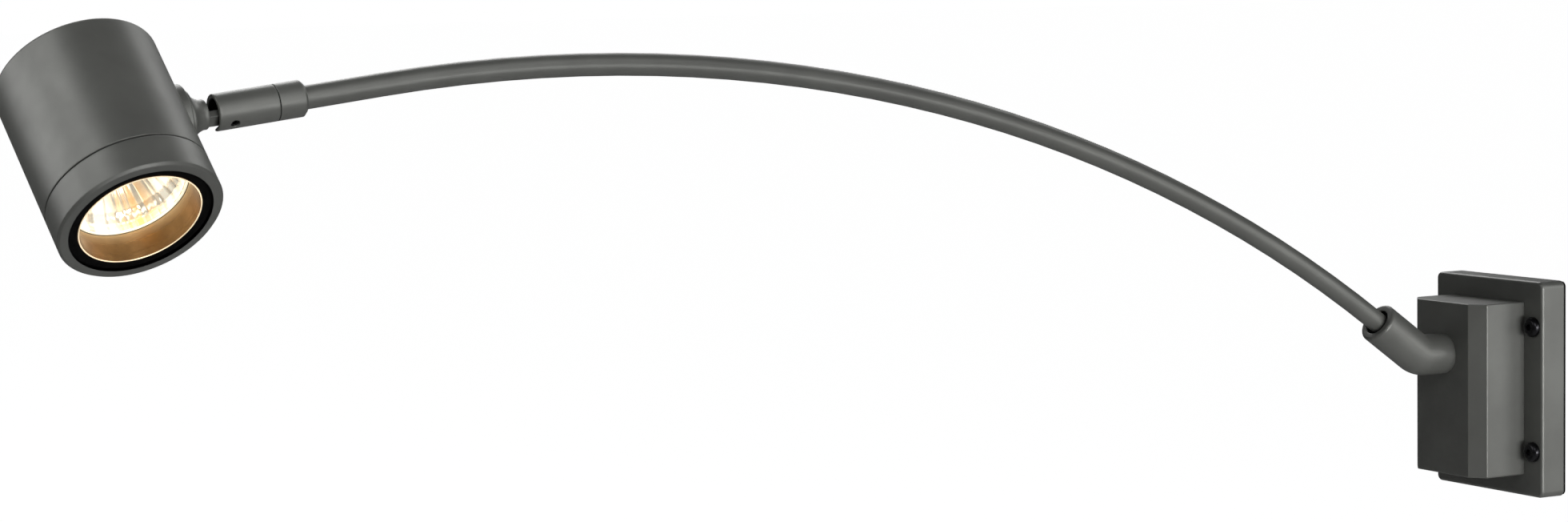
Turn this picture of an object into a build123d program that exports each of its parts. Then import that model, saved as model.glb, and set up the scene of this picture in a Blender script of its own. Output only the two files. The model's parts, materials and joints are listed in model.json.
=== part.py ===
from build123d import *
import math
import os

os.makedirs("parts", exist_ok=True)

# A wall light on a long curved arm. Origin at the centre of the wall face, +Y into the wall,
# -Y out into the room, +Z up. Millimetres throughout.

# ---- driving dimensions -------------------------------------------------------------------
# wall plate and the box on it
plate_width = 80.0
plate_height = 107.0
plate_front = 15.5            # wall face to the front of the plate
plate_corner = 3.0
plate_edge = 1.4               # round of the front edges
plate_skin = 2.5
plate_wall = 2.0
gasket_thickness = 1.5        # foam at the wall
box_margin = 13.2             # edge of the plate to the side of the box
box_bevel_width = 7.5         # front corner bevel, seen from the front
box_side_depth = 39.0         # wall face to the start of that bevel
box_front = 44.9              # wall face to the flat front
box_half_height = 43.0
box_skin = 2.5
sheet_thickness = 0.8         # flat seals
bracket_thickness = 2.0
wire_hole_radius = 7.0
cable_hole_radius = 8.0
cable_radius = 5.5            # free bore of the grommet
slot_length = 11.0
slot_width = 5.0

# elbow and arm
tube_radius = 5.0
tube_wall = 1.0
arm_radius = 746.0            # centre line of the long bend
elbow_angle = 35.5            # climb of the arm where it leaves the elbow, degrees
tip_angle = 7.0               # drop of the arm at the lamp end, degrees
tip_length = 68.1             # end of the bend to the tilt pivot
elbow_height = 17.2           # elbow centre line above the middle of the plate
elbow_corner_y = 60.5         # wall face to the corner of the two centre lines
elbow_leg = 31.4              # corner to the open mouth
elbow_radius = 10.1
elbow_bend = 11.0
elbow_grip = 19.0             # length of tube held in the elbow
spigot_radius = 6.0
mouth_radius = 6.7
mouth_depth = 2.0

# knuckle, measured along the arm axis from the tilt pivot
knuckle_radius = 7.75
cup_radius = 5.75
barrel_front = 6.9
barrel_rear = -19.6
web_front = -15.9
sleeve_front = -20.0
sleeve_rear = -32.4
tube_grip = 7.5
swivel_radius = 4.0           # thread of the two hollow screws
lead_bore = 2.4               # way for the leads through those screws
pivot_radius = 2.0
tongue_low = 1.2              # the tongue stands off the middle to leave room for the leads
tongue_high = 4.5
tongue_half_width = 3.1
boss_end = 10.5
neck_radius = 6.3
neck_length = 1.8
flange_radius = 11.2
flange_thickness = 1.5
pad_radius = 14.0
pad_face = 20.0

# lamp head, measured along the lamp axis from the knuckle axis, forward positive
lamp_turn = 43.65             # lamp axis turned from straight down about the arm axis, degrees
head_radius = 34.35
head_offset = 54.8            # tilt pivot to the lamp axis
head_front = 48.1
head_back = -31.0
head_floor = 4.0
head_bore = 29.5
seam_start = 32.5
seam_width = 0.8
spigot_ring_radius = 31.65
spigot_ring_end = 41.5
aperture_radius = 29.85
lip_thickness = 1.5
seal_thickness = 1.2
window_radius = 25.1          # clear opening of the bronze tube
window_wall = 0.6
window_flange = 1.5
glass_thickness = 3.0

# spot lamp and its holder
lamp_front = 33.0
lamp_radius = 25.0
lamp_length = 46.5
rim_height = 4.0
lamp_waist = (20.4, 16.0)     # radius and level half way down the outside of the dish
lamp_neck_radius = 12.0
lamp_neck_level = 3.0
facet_count = 24
dish_radii = [23.4, 21.6, 19.0, 15.6, 11.4, 6.6]
dish_levels = [29.6, 24.6, 19.8, 15.4, 11.6, 8.8]
pin_half_pitch = 5.0
pin_radius = 1.5
pin_length = 4.6
pin_foot_radius = 2.5
pin_foot_length = 2.4
holder_radius = 14.0
holder_plate_thickness = 1.5
holder_screw_spread = 18.0
keyhole_turn = 28.0           # twist from the entry holes to the locked place, degrees

# named clearances and small common sizes
running = 0.05
fit_gap = 0.1
free_gap = 0.3
screw_core = 1.65             # tapping hole of the 4 mm screws
screw_length = 9.0
thread_gap = 0.05
stud_gap = 0.5                # through holes round the 4 mm screws
edge_break = 0.6
burr = 0.3                    # smallest chamfer

# ---- frames -------------------------------------------------------------------------------
tip = math.radians(tip_angle)
climb = math.radians(elbow_angle)
turn = math.radians(lamp_turn)
arm_axis = Vector(0, -math.cos(tip), -math.sin(tip))
straight_down = Vector(0, math.sin(tip), -math.cos(tip))
lamp_axis = straight_down * math.cos(turn) + Vector(1, 0, 0) * math.sin(turn)

elbow_corner = Vector(0, -elbow_corner_y, elbow_height)
climb_axis = Vector(0, -math.cos(climb), math.sin(climb))
elbow_mouth = elbow_corner + climb_axis * elbow_leg
bend_centre = elbow_mouth - Vector(0, math.sin(climb), math.cos(climb)) * arm_radius
bend_end = bend_centre + Vector(0, -math.sin(tip), math.cos(tip)) * arm_radius
half_way = (climb - tip) / 2
bend_middle = bend_centre + Vector(0, math.sin(half_way), math.cos(half_way)) * arm_radius
pivot = bend_end + arm_axis * tip_length
lamp_centre = pivot + arm_axis * head_offset

# "across" planes look along an axis, "along" planes hold it as their y direction
across_knuckle = Plane(origin=pivot, x_dir=lamp_axis, z_dir=arm_axis)
along_knuckle = Plane(origin=pivot, x_dir=lamp_axis, z_dir=lamp_axis.cross(arm_axis))
across_pivot = Plane(origin=pivot, x_dir=arm_axis, z_dir=lamp_axis)
knuckle_axis = Axis(pivot, arm_axis)
across_lamp = Plane(origin=lamp_centre, x_dir=-arm_axis, z_dir=lamp_axis)
along_lamp = Plane(origin=lamp_centre, x_dir=-arm_axis, z_dir=(-arm_axis).cross(lamp_axis))
beam_axis = Axis(lamp_centre, lamp_axis)
across_mouth = Plane(origin=elbow_mouth, x_dir=(1, 0, 0), z_dir=climb_axis)
beside_elbow = Plane(origin=elbow_mouth - climb_axis * elbow_grip / 2, x_dir=climb_axis, z_dir=(-1, 0, 0))
beside_sleeve = Plane(
    origin=pivot + arm_axis * (sleeve_rear + tube_grip / 2), x_dir=arm_axis, z_dir=(-1, 0, 0)
)

# ---- wall bracket and tray ----------------------------------------------------------------
tray_inside = plate_front - plate_skin
tray_half_width = plate_width / 2 - plate_wall
box_side_half = plate_width / 2 - box_margin
box_front_half = box_side_half - box_bevel_width
plate_screw_inset = 22.5      # plate edge to the screws, top and bottom
plate_screw_x = plate_width / 2 - box_margin / 2
plate_screw_z = plate_height / 2 - plate_screw_inset
pillar_radius = tray_half_width - plate_screw_x - free_gap
bracket_margin = plate_wall + 1.0
wall_slot_inset = 12.5        # plate edge to the wall slots
wall_slot_z = plate_height / 2 - wall_slot_inset
cable_hole_z = -20.0
box_boss_radius = 4.5
box_boss_z = box_half_height - 2 * box_boss_radius
plate_screw_spots = [(x, z) for x in (-plate_screw_x, plate_screw_x) for z in (-plate_screw_z, plate_screw_z)]
box_screw_spots = [(0, -box_boss_z), (0, box_boss_z)]

# pressed bracket that is screwed to the wall first, with four tapped pillars
with BuildPart() as wall_bracket:
    with BuildSketch(Plane.XZ):
        RectangleRounded(plate_width - 2 * bracket_margin, plate_height - 2 * bracket_margin, plate_corner)
        with Locations((0, -wall_slot_z), (0, wall_slot_z)):
            SlotOverall(slot_length, slot_width, rotation=90, mode=Mode.SUBTRACT)
        with Locations((0, cable_hole_z)):
            Circle(cable_hole_radius, mode=Mode.SUBTRACT)
    extrude(amount=bracket_thickness)
    with BuildSketch(Plane.XZ.offset(bracket_thickness)):
        with Locations(*plate_screw_spots):
            Circle(pillar_radius)
    extrude(amount=tray_inside - bracket_thickness)
    with BuildSketch(Plane.XZ):
        with Locations(*plate_screw_spots):
            Circle(screw_core)
    extrude(amount=tray_inside, mode=Mode.SUBTRACT)
wall_bracket.part.label = "wall_bracket"
export_step(wall_bracket.part, "parts/wall_bracket.step")

# rubber grommet, snapped into the cable hole of the bracket
grommet_lip = 2.0
grommet_lip_thickness = 1.5
with BuildPart() as cable_grommet:
    with BuildSketch(Plane.XZ.offset(bracket_thickness)):
        with Locations((0, cable_hole_z)):
            Circle(cable_hole_radius + grommet_lip)
            Circle(cable_radius, mode=Mode.SUBTRACT)
    extrude(amount=grommet_lip_thickness)
    with BuildSketch(Plane.XZ):
        with Locations((0, cable_hole_z)):
            Circle(cable_hole_radius)
            Circle(cable_radius, mode=Mode.SUBTRACT)
    extrude(amount=bracket_thickness)
cable_grommet.part.label = "cable_grommet"
export_step(cable_grommet.part, "parts/cable_grommet.step")

# deep pressed tray that covers the bracket
with BuildPart() as wall_plate:
    with BuildSketch(Plane.XZ.offset(gasket_thickness)):
        RectangleRounded(plate_width, plate_height, plate_corner)
    extrude(amount=plate_front - gasket_thickness)
    fillet(wall_plate.faces().sort_by(Axis.Y)[0].edges(), plate_edge)
    with BuildSketch(Plane.XZ.offset(gasket_thickness)):
        RectangleRounded(2 * tray_half_width, plate_height - 2 * plate_wall, plate_corner - plate_wall)
    extrude(amount=tray_inside - gasket_thickness, mode=Mode.SUBTRACT)
    with BuildSketch(Plane.XZ):
        with Locations(*plate_screw_spots, *box_screw_spots):
            Circle(screw_core + stud_gap)
        Circle(wire_hole_radius)
    extrude(amount=plate_front, mode=Mode.SUBTRACT)
wall_plate.part.label = "wall_plate"
export_step(wall_plate.part, "parts/wall_plate.step")

# foam gasket between the rim of the tray and the wall
gasket_inset = 0.5
gasket_width = 2.0
with BuildPart() as wall_gasket:
    with BuildSketch(Plane.XZ):
        Rectangle(plate_width - 2 * gasket_inset, plate_height - 2 * gasket_inset)
        inset = gasket_inset + gasket_width
        Rectangle(plate_width - 2 * inset, plate_height - 2 * inset, mode=Mode.SUBTRACT)
    extrude(amount=gasket_thickness)
    fillet(wall_gasket.edges().filter_by(Axis.Y).group_by(SortBy.DISTANCE)[-1], plate_corner - gasket_inset)
wall_gasket.part.label = "wall_gasket"
export_step(wall_gasket.part, "parts/wall_gasket.step")

# four round-headed socket screws that hold the tray to the pillars
plate_head_radius = 5.0
plate_head_height = 3.0
plate_head_socket = 1.7
with BuildPart() as plate_screws:
    with BuildSketch(Plane.XZ.offset(plate_front)):
        with Locations(*plate_screw_spots):
            Circle(plate_head_radius)
    extrude(amount=plate_head_height)
    fillet(plate_screws.edges().group_by(Axis.Y)[0], plate_head_height * 0.75)
    with BuildSketch(Plane.XZ.offset(plate_front - screw_length)):
        with Locations(*plate_screw_spots):
            Circle(screw_core - thread_gap)
    extrude(amount=screw_length)
    with BuildSketch(Plane.XZ.offset(plate_front + plate_head_height)):
        with Locations(*plate_screw_spots):
            RegularPolygon(plate_head_socket, 6)
    extrude(amount=-plate_head_height / 2, mode=Mode.SUBTRACT)
plate_screws.part.label = "plate_screws"
export_step(plate_screws.part, "parts/plate_screws.step")

# ---- terminal block -----------------------------------------------------------------------
block_width = 33.0
block_height = 17.0
block_depth = 9.0
block_z = 10.0
pole_count = 3
pole_pitch = 10.0
clamp_row = 4.5
well_radius = 1.9
well_depth = 3.0
wire_bore = 1.7
wire_level = 3.2
block_front = bracket_thickness + block_depth

# three-way terminal block on the bracket: wire bores along Z, screw wells at the front
with BuildPart() as terminal_block:
    with BuildSketch(Plane.XZ.offset(bracket_thickness)):
        with Locations((0, block_z)):
            RectangleRounded(block_width, block_height, edge_break)
    extrude(amount=block_depth)
    with BuildSketch(Plane.XZ.offset(block_front)):
        with Locations((0, block_z)):
            with GridLocations(pole_pitch, 2 * clamp_row, pole_count, 2):
                Circle(well_radius)
    extrude(amount=-well_depth, mode=Mode.SUBTRACT)
    with BuildSketch(Plane.XY.offset(block_z - block_height / 2)):
        with Locations((0, -bracket_thickness - wire_level)):
            with GridLocations(pole_pitch, 1, pole_count, 1):
                Circle(wire_bore)
    extrude(amount=block_height, mode=Mode.SUBTRACT)
terminal_block.part.label = "terminal_block"
export_step(terminal_block.part, "parts/terminal_block.step")

# slotted clamping screws in those wells
clamp_screw_height = 2.0
driver_slot = 0.6
driver_depth = 0.8
with BuildPart() as terminal_screws:
    with BuildSketch(Plane.XZ.offset(block_front - well_depth)):
        with Locations((0, block_z)):
            with GridLocations(pole_pitch, 2 * clamp_row, pole_count, 2):
                Circle(well_radius - fit_gap)
    extrude(amount=clamp_screw_height)
    with BuildSketch(Plane.XZ.offset(block_front - well_depth + clamp_screw_height)):
        with Locations((0, block_z)):
            with GridLocations(pole_pitch, 2 * clamp_row, pole_count, 2):
                Rectangle(2 * well_radius, driver_slot)
    extrude(amount=-driver_depth, mode=Mode.SUBTRACT)
terminal_screws.part.label = "terminal_screws"
export_step(terminal_screws.part, "parts/terminal_screws.step")

# ---- box ----------------------------------------------------------------------------------
box_inside = box_front - box_skin
gasket_step = 1.2             # rim outside the gasket
inner_side_half = box_side_half - box_skin
inner_bevel = box_skin * math.tan(math.atan2(box_side_half - box_front_half, box_front - box_side_depth) / 2)

# cast housing with bevelled front corners, open at the back, with two screw bosses
with BuildPart() as box_cover:
    with BuildSketch(Plane.XY.offset(-box_half_height)):
        with BuildLine():
            Polyline(
                (-box_side_half, -plate_front),
                (-box_side_half, -box_side_depth),
                (-box_front_half, -box_front),
                (box_front_half, -box_front),
                (box_side_half, -box_side_depth),
                (box_side_half, -plate_front),
                close=True,
            )
        make_face()
    extrude(amount=2 * box_half_height)
    upright_edges = box_cover.edges().filter_by(Axis.Z).group_by(Axis.Y)
    fillet(upright_edges[0] + upright_edges[1], edge_break)
    fillet(box_cover.faces().sort_by(Axis.Z)[-1].edges(), edge_break)
    fillet(box_cover.faces().sort_by(Axis.Z)[0].edges(), edge_break)
    with BuildSketch(Plane.XY.offset(-box_half_height + box_skin)):
        with BuildLine():
            Polyline(
                (-inner_side_half, -plate_front),
                (-inner_side_half, -box_side_depth + inner_bevel),
                (-box_front_half + inner_bevel, -box_inside),
                (box_front_half - inner_bevel, -box_inside),
                (inner_side_half, -box_side_depth + inner_bevel),
                (inner_side_half, -plate_front),
                close=True,
            )
        make_face()
    extrude(amount=2 * (box_half_height - box_skin), mode=Mode.SUBTRACT)
    with BuildSketch(Plane.XZ.offset(plate_front)):
        Rectangle(2 * (box_side_half - gasket_step), 2 * (box_half_height - gasket_step))
    extrude(amount=sheet_thickness, mode=Mode.SUBTRACT)
    with BuildSketch(Plane.XZ.offset(plate_front)):
        with Locations(*box_screw_spots):
            Circle(box_boss_radius)
    extrude(amount=box_inside + box_skin / 2 - plate_front)
    with BuildSketch(Plane.XZ.offset(plate_front)):
        with Locations(*box_screw_spots):
            Circle(screw_core)
    extrude(amount=screw_length + box_skin, mode=Mode.SUBTRACT)
    with BuildSketch(Plane.XZ):
        with Locations((0, elbow_height)):
            Circle(spigot_radius + fit_gap)
    extrude(amount=box_front, mode=Mode.SUBTRACT)
box_cover.part.label = "box_cover"
export_step(box_cover.part, "parts/box_cover.step")

# sheet gasket between the box and the tray, in the step of the box's rim
gasket_edge = gasket_step + fit_gap
with BuildPart() as box_gasket:
    with BuildSketch(Plane.XZ.offset(plate_front)):
        Rectangle(2 * (box_side_half - gasket_edge), 2 * (box_half_height - gasket_edge))
        Rectangle(2 * inner_side_half, 2 * (box_half_height - box_skin), mode=Mode.SUBTRACT)
    extrude(amount=sheet_thickness)
box_gasket.part.label = "box_gasket"
export_step(box_gasket.part, "parts/box_gasket.step")

# two cross-headed screws from inside the tray into the bosses of the box
pan_head_radius = 3.4
pan_head_height = 2.2
cross_length = 4.4
cross_width = 0.9
with BuildPart() as box_screws:
    with BuildSketch(Plane.XZ.offset(tray_inside)):
        with Locations(*box_screw_spots):
            Circle(pan_head_radius)
    extrude(amount=-pan_head_height)
    with BuildSketch(Plane.XZ.offset(tray_inside)):
        with Locations(*box_screw_spots):
            Circle(screw_core - thread_gap)
    extrude(amount=plate_skin + screw_length)
    with BuildSketch(Plane.XZ.offset(tray_inside - pan_head_height)):
        with Locations(*box_screw_spots):
            Rectangle(cross_length, cross_width)
            Rectangle(cross_width, cross_length)
    extrude(amount=pan_head_height / 2, mode=Mode.SUBTRACT)
box_screws.part.label = "box_screws"
export_step(box_screws.part, "parts/box_screws.step")

# ---- elbow --------------------------------------------------------------------------------
nut_thickness = 4.0
nut_radius = 9.5
spigot_end = box_inside - nut_thickness - 3.0
lead_way = 4.0
leg_tangent = elbow_bend * math.tan(climb / 2)
stub_end = (-elbow_corner_y + leg_tangent, elbow_height)
leg_start = (-elbow_corner_y - leg_tangent * math.cos(climb), elbow_height + leg_tangent * math.sin(climb))
mouth_edge = 1.4
seal_groove = (spigot_radius + 1.0, spigot_radius + 2.5)
elbow_grub_radius = 2.0
grub_socket = 1.15

# cast elbow: stub out of the box, one tight bend, open socket for the tube
with BuildPart() as elbow:
    with BuildLine(Plane.YZ) as elbow_line:
        Line((-box_front, elbow_height), stub_end)
        TangentArc(stub_end, leg_start, tangent=(-1, 0))
        Line(leg_start, (elbow_mouth.Y, elbow_mouth.Z))
    with BuildSketch(Plane(origin=(0, -box_front, elbow_height), x_dir=(1, 0, 0), z_dir=(0, -1, 0))):
        Circle(elbow_radius)
    sweep(path=elbow_line.wires()[0])
    fillet(elbow.edges().filter_by(GeomType.CIRCLE).sort_by(Axis.Y)[0], mouth_edge)
    with BuildSketch(Plane.XZ.offset(box_front)):
        with Locations((0, elbow_height)):
            Circle(spigot_radius)
    extrude(amount=spigot_end - box_front)
    with BuildSketch(across_mouth):
        Circle(mouth_radius)
    extrude(amount=-mouth_depth, mode=Mode.SUBTRACT)
    with BuildSketch(across_mouth):
        Circle(tube_radius + running)
    extrude(amount=-elbow_grip, mode=Mode.SUBTRACT)
    with BuildSketch(across_mouth):
        Circle(lead_way)
    extrude(amount=-elbow_leg, mode=Mode.SUBTRACT)
    with BuildSketch(Plane.XZ.offset(elbow_corner_y)):
        with Locations((0, elbow_height)):
            Circle(lead_way)
    extrude(amount=spigot_end - elbow_corner_y, mode=Mode.SUBTRACT)
    with BuildSketch(beside_elbow):
        Circle(elbow_grub_radius)
    extrude(amount=elbow_radius + 1, mode=Mode.SUBTRACT)
    with BuildSketch(Plane.XZ.offset(box_front)):
        with Locations((0, elbow_height)):
            Circle(seal_groove[1])
            Circle(seal_groove[0], mode=Mode.SUBTRACT)
    extrude(amount=sheet_thickness, mode=Mode.SUBTRACT)
elbow.part.label = "elbow"
export_step(elbow.part, "parts/elbow.step")

# flat seal in a groove of the elbow's foot
with BuildPart() as elbow_seal:
    with BuildSketch(Plane.XZ.offset(box_front)):
        with Locations((0, elbow_height)):
            Circle(seal_groove[1] - running)
            Circle(seal_groove[0] + running, mode=Mode.SUBTRACT)
    extrude(amount=sheet_thickness)
elbow_seal.part.label = "elbow_seal"
export_step(elbow_seal.part, "parts/elbow_seal.step")

# thin hexagon nut that pulls the elbow onto the box
with BuildPart() as elbow_nut:
    with BuildSketch(Plane.XZ.offset(box_inside)):
        with Locations((0, elbow_height)):
            RegularPolygon(nut_radius, 6)
            Circle(spigot_radius + running, mode=Mode.SUBTRACT)
    extrude(amount=-nut_thickness)
elbow_nut.part.label = "elbow_nut"
export_step(elbow_nut.part, "parts/elbow_nut.step")

# rubber ring round the tube in the mouth of the elbow, set below the rim
with BuildPart() as mouth_seal:
    with BuildSketch(across_mouth.offset(-mouth_depth)):
        Circle(mouth_radius - running)
        Circle(tube_radius + running, mode=Mode.SUBTRACT)
    extrude(amount=mouth_depth / 2)
mouth_seal.part.label = "mouth_seal"
export_step(mouth_seal.part, "parts/mouth_seal.step")

# socket set screw that locks the tube in the elbow
with BuildPart() as elbow_grub_screw:
    with BuildSketch(beside_elbow.offset(tube_radius)):
        Circle(elbow_grub_radius - thread_gap)
    extrude(amount=elbow_radius - tube_radius - edge_break)
    with BuildSketch(beside_elbow.offset(elbow_radius - edge_break)):
        RegularPolygon(grub_socket, 6)
    extrude(amount=-grub_socket * 1.7, mode=Mode.SUBTRACT)
elbow_grub_screw.part.label = "elbow_grub_screw"
export_step(elbow_grub_screw.part, "parts/elbow_grub_screw.step")

# ---- arm ----------------------------------------------------------------------------------
tube_start = elbow_mouth - climb_axis * elbow_grip
tube_end = pivot + arm_axis * (sleeve_rear + tube_grip)

# long rolled tube: straight in the elbow, one even bend, straight tip in the sleeve
with BuildPart() as arm_tube:
    with BuildLine() as arm_line:
        Line(tube_start, elbow_mouth)
        ThreePointArc(elbow_mouth, bend_middle, bend_end)
        Line(bend_end, tube_end)
    with BuildSketch(Plane(origin=tube_start, x_dir=(1, 0, 0), z_dir=climb_axis)):
        Circle(tube_radius)
        Circle(tube_radius - tube_wall, mode=Mode.SUBTRACT)
    sweep(path=arm_line.wires()[0])
arm_tube.part.label = "arm_tube"
export_step(arm_tube.part, "parts/arm_tube.step")

# ---- swivel -------------------------------------------------------------------------------
stop_pin_radius = 0.75
stop_pin_circle = 6.1
stop_pin_root = 2.5
stop_pin_reach = 1.2
stop_depth = 1.5
swivel_half_range = 150.0     # degrees either way
swivel_head_radius = 5.2
swivel_head_height = 2.4
swivel_socket = 3.4
spring_thickness = 0.3
sleeve_edge = 1.2
sleeve_grub_radius = 1.5
sleeve_grub_socket = 0.9
swivel_tail = sleeve_rear + tube_grip
swivel_head_base = web_front + spring_thickness
swivel_head_top = swivel_head_base + swivel_head_height

# sleeve on the tip of the tube, tapped at the front for the hollow swivel screw
with BuildPart() as knuckle_sleeve:
    with BuildSketch(across_knuckle.offset(sleeve_rear)):
        Circle(knuckle_radius)
    extrude(amount=sleeve_front - sleeve_rear)
    chamfer(knuckle_sleeve.edges().sort_by(knuckle_axis)[0], sleeve_edge)
    with BuildSketch(across_knuckle.offset(sleeve_rear)):
        Circle(tube_radius + running)
    extrude(amount=tube_grip, mode=Mode.SUBTRACT)
    with BuildSketch(across_knuckle.offset(sleeve_rear)):
        Circle(swivel_radius)
    extrude(amount=sleeve_front - sleeve_rear, mode=Mode.SUBTRACT)
    with BuildSketch(beside_sleeve):
        Circle(sleeve_grub_radius)
    extrude(amount=knuckle_radius + 1, mode=Mode.SUBTRACT)
    with BuildSketch(across_knuckle.offset(sleeve_front)):
        with Locations((0, stop_pin_circle)):
            Circle(stop_pin_radius)
    extrude(amount=-stop_pin_root, mode=Mode.SUBTRACT)
knuckle_sleeve.part.label = "knuckle_sleeve"
export_step(knuckle_sleeve.part, "parts/knuckle_sleeve.step")

# socket set screw that locks the sleeve on the tube
with BuildPart() as sleeve_grub_screw:
    with BuildSketch(beside_sleeve.offset(tube_radius)):
        Circle(sleeve_grub_radius - thread_gap)
    extrude(amount=knuckle_radius - tube_radius - edge_break)
    with BuildSketch(beside_sleeve.offset(knuckle_radius - edge_break)):
        RegularPolygon(sleeve_grub_socket, 6)
    extrude(amount=-sleeve_grub_socket * 1.5, mode=Mode.SUBTRACT)
sleeve_grub_screw.part.label = "sleeve_grub_screw"
export_step(sleeve_grub_screw.part, "parts/sleeve_grub_screw.step")

# dowel in the face of the sleeve that ends the swivel
with BuildPart() as swivel_stop_pin:
    with BuildSketch(across_knuckle.offset(sleeve_front - stop_pin_root)):
        with Locations((0, stop_pin_circle)):
            Circle(stop_pin_radius)
    extrude(amount=stop_pin_root + barrel_rear - sleeve_front + stop_pin_reach)
swivel_stop_pin.part.label = "swivel_stop_pin"
export_step(swivel_stop_pin.part, "parts/swivel_stop_pin.step")

# low-friction disc in the seam of the knuckle
with BuildPart() as swivel_disc:
    with BuildSketch(across_knuckle.offset(sleeve_front)):
        Circle(stop_pin_circle - stop_pin_radius - free_gap)
        Circle(swivel_radius + fit_gap, mode=Mode.SUBTRACT)
    extrude(amount=barrel_rear - sleeve_front)
swivel_disc.part.label = "swivel_disc"
export_step(swivel_disc.part, "parts/swivel_disc.step")

# hollow socket screw through the web of the barrel: the bearing of the swivel
with BuildPart() as swivel_screw:
    with BuildSketch(across_knuckle.offset(swivel_tail)):
        Circle(swivel_radius)
    extrude(amount=swivel_head_base - swivel_tail)
    with BuildSketch(across_knuckle.offset(swivel_head_base)):
        Circle(swivel_head_radius)
    extrude(amount=swivel_head_height)
    chamfer(swivel_screw.edges().sort_by(knuckle_axis)[-1], burr)
    with BuildSketch(across_knuckle.offset(swivel_head_top)):
        RegularPolygon(swivel_socket, 6)
    extrude(amount=-swivel_head_height * 0.7, mode=Mode.SUBTRACT)
    with BuildSketch(across_knuckle.offset(swivel_tail)):
        Circle(lead_bore)
    extrude(amount=swivel_head_top - swivel_tail, mode=Mode.SUBTRACT)
swivel_screw.part.label = "swivel_screw"
export_step(swivel_screw.part, "parts/swivel_screw.step")

# spring washer under the head of that screw
with BuildPart() as swivel_spring_washer:
    with BuildSketch(across_knuckle.offset(web_front)):
        Circle(swivel_head_radius - fit_gap)
        Circle(swivel_radius + fit_gap, mode=Mode.SUBTRACT)
    extrude(amount=spring_thickness)
swivel_spring_washer.part.label = "swivel_spring_washer"
export_step(swivel_spring_washer.part, "parts/swivel_spring_washer.step")

# barrel: a cup open towards the lamp, pivot hole across it, slot on the side it tilts to,
# and in its rear face the groove that the stop pin runs in
tongue_middle = (tongue_low + tongue_high) / 2
tongue_thickness = tongue_high - tongue_low
slot_root = -(tongue_half_width + free_gap)
groove_inner = stop_pin_circle - stop_pin_radius - fit_gap
groove_outer = stop_pin_circle + stop_pin_radius + fit_gap
groove_half = swivel_half_range + math.degrees(stop_pin_radius / stop_pin_circle) + 1.0
groove_start = math.radians(90 - groove_half)
groove_finish = math.radians(90 + groove_half)
barrel_edge = 0.8
cup_edge = 0.9
with BuildPart() as knuckle_barrel:
    with BuildSketch(across_knuckle.offset(barrel_rear)):
        Circle(knuckle_radius)
    extrude(amount=barrel_front - barrel_rear)
    fillet(knuckle_barrel.edges().sort_by(knuckle_axis)[-1], barrel_edge)
    with BuildSketch(across_knuckle.offset(web_front)):
        Circle(cup_radius)
    extrude(amount=barrel_front - web_front, mode=Mode.SUBTRACT)
    chamfer(knuckle_barrel.edges().group_by(knuckle_axis)[-1].sort_by(SortBy.RADIUS)[0], cup_edge)
    with BuildSketch(across_knuckle.offset(barrel_rear)):
        Circle(swivel_radius + running)
    extrude(amount=web_front - barrel_rear, mode=Mode.SUBTRACT)
    with BuildSketch(across_knuckle.offset(slot_root)):
        with Locations((tongue_middle, -knuckle_radius)):
            Rectangle(tongue_thickness + 2 * free_gap, 2 * knuckle_radius)
    extrude(amount=barrel_front - slot_root, mode=Mode.SUBTRACT)
    with BuildSketch(across_pivot):
        Circle(pivot_radius + running)
    extrude(amount=knuckle_radius, mode=Mode.SUBTRACT)
    with BuildSketch(across_pivot):
        Circle(pivot_radius * 0.75)
    extrude(amount=-knuckle_radius, mode=Mode.SUBTRACT)
    with BuildSketch(across_knuckle.offset(barrel_rear)):
        with BuildLine():
            CenterArc((0, 0), groove_inner, 90 - groove_half, 2 * groove_half)
            CenterArc((0, 0), groove_outer, 90 - groove_half, 2 * groove_half)
            for angle in (groove_start, groove_finish):
                inner_end = (groove_inner * math.cos(angle), groove_inner * math.sin(angle))
                outer_end = (groove_outer * math.cos(angle), groove_outer * math.sin(angle))
                Line(inner_end, outer_end)
        make_face()
    extrude(amount=stop_depth, mode=Mode.SUBTRACT)
knuckle_barrel.part.label = "knuckle_barrel"
export_step(knuckle_barrel.part, "parts/knuckle_barrel.step")

# ---- tilting boss -------------------------------------------------------------------------
flange_face = pad_face - sheet_thickness / 2
flange_back = flange_face - flange_thickness
neck_top = boss_end + neck_length
flare_radius = flange_radius - edge_break
flare_belly = (neck_radius + 1.2, (neck_top + flange_back) / 2)
bolt_tip = boss_end + 2.0
lead_hole_radius = 1.7
lead_hole_x = tongue_low - lead_hole_radius - pivot_radius / 2

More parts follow.
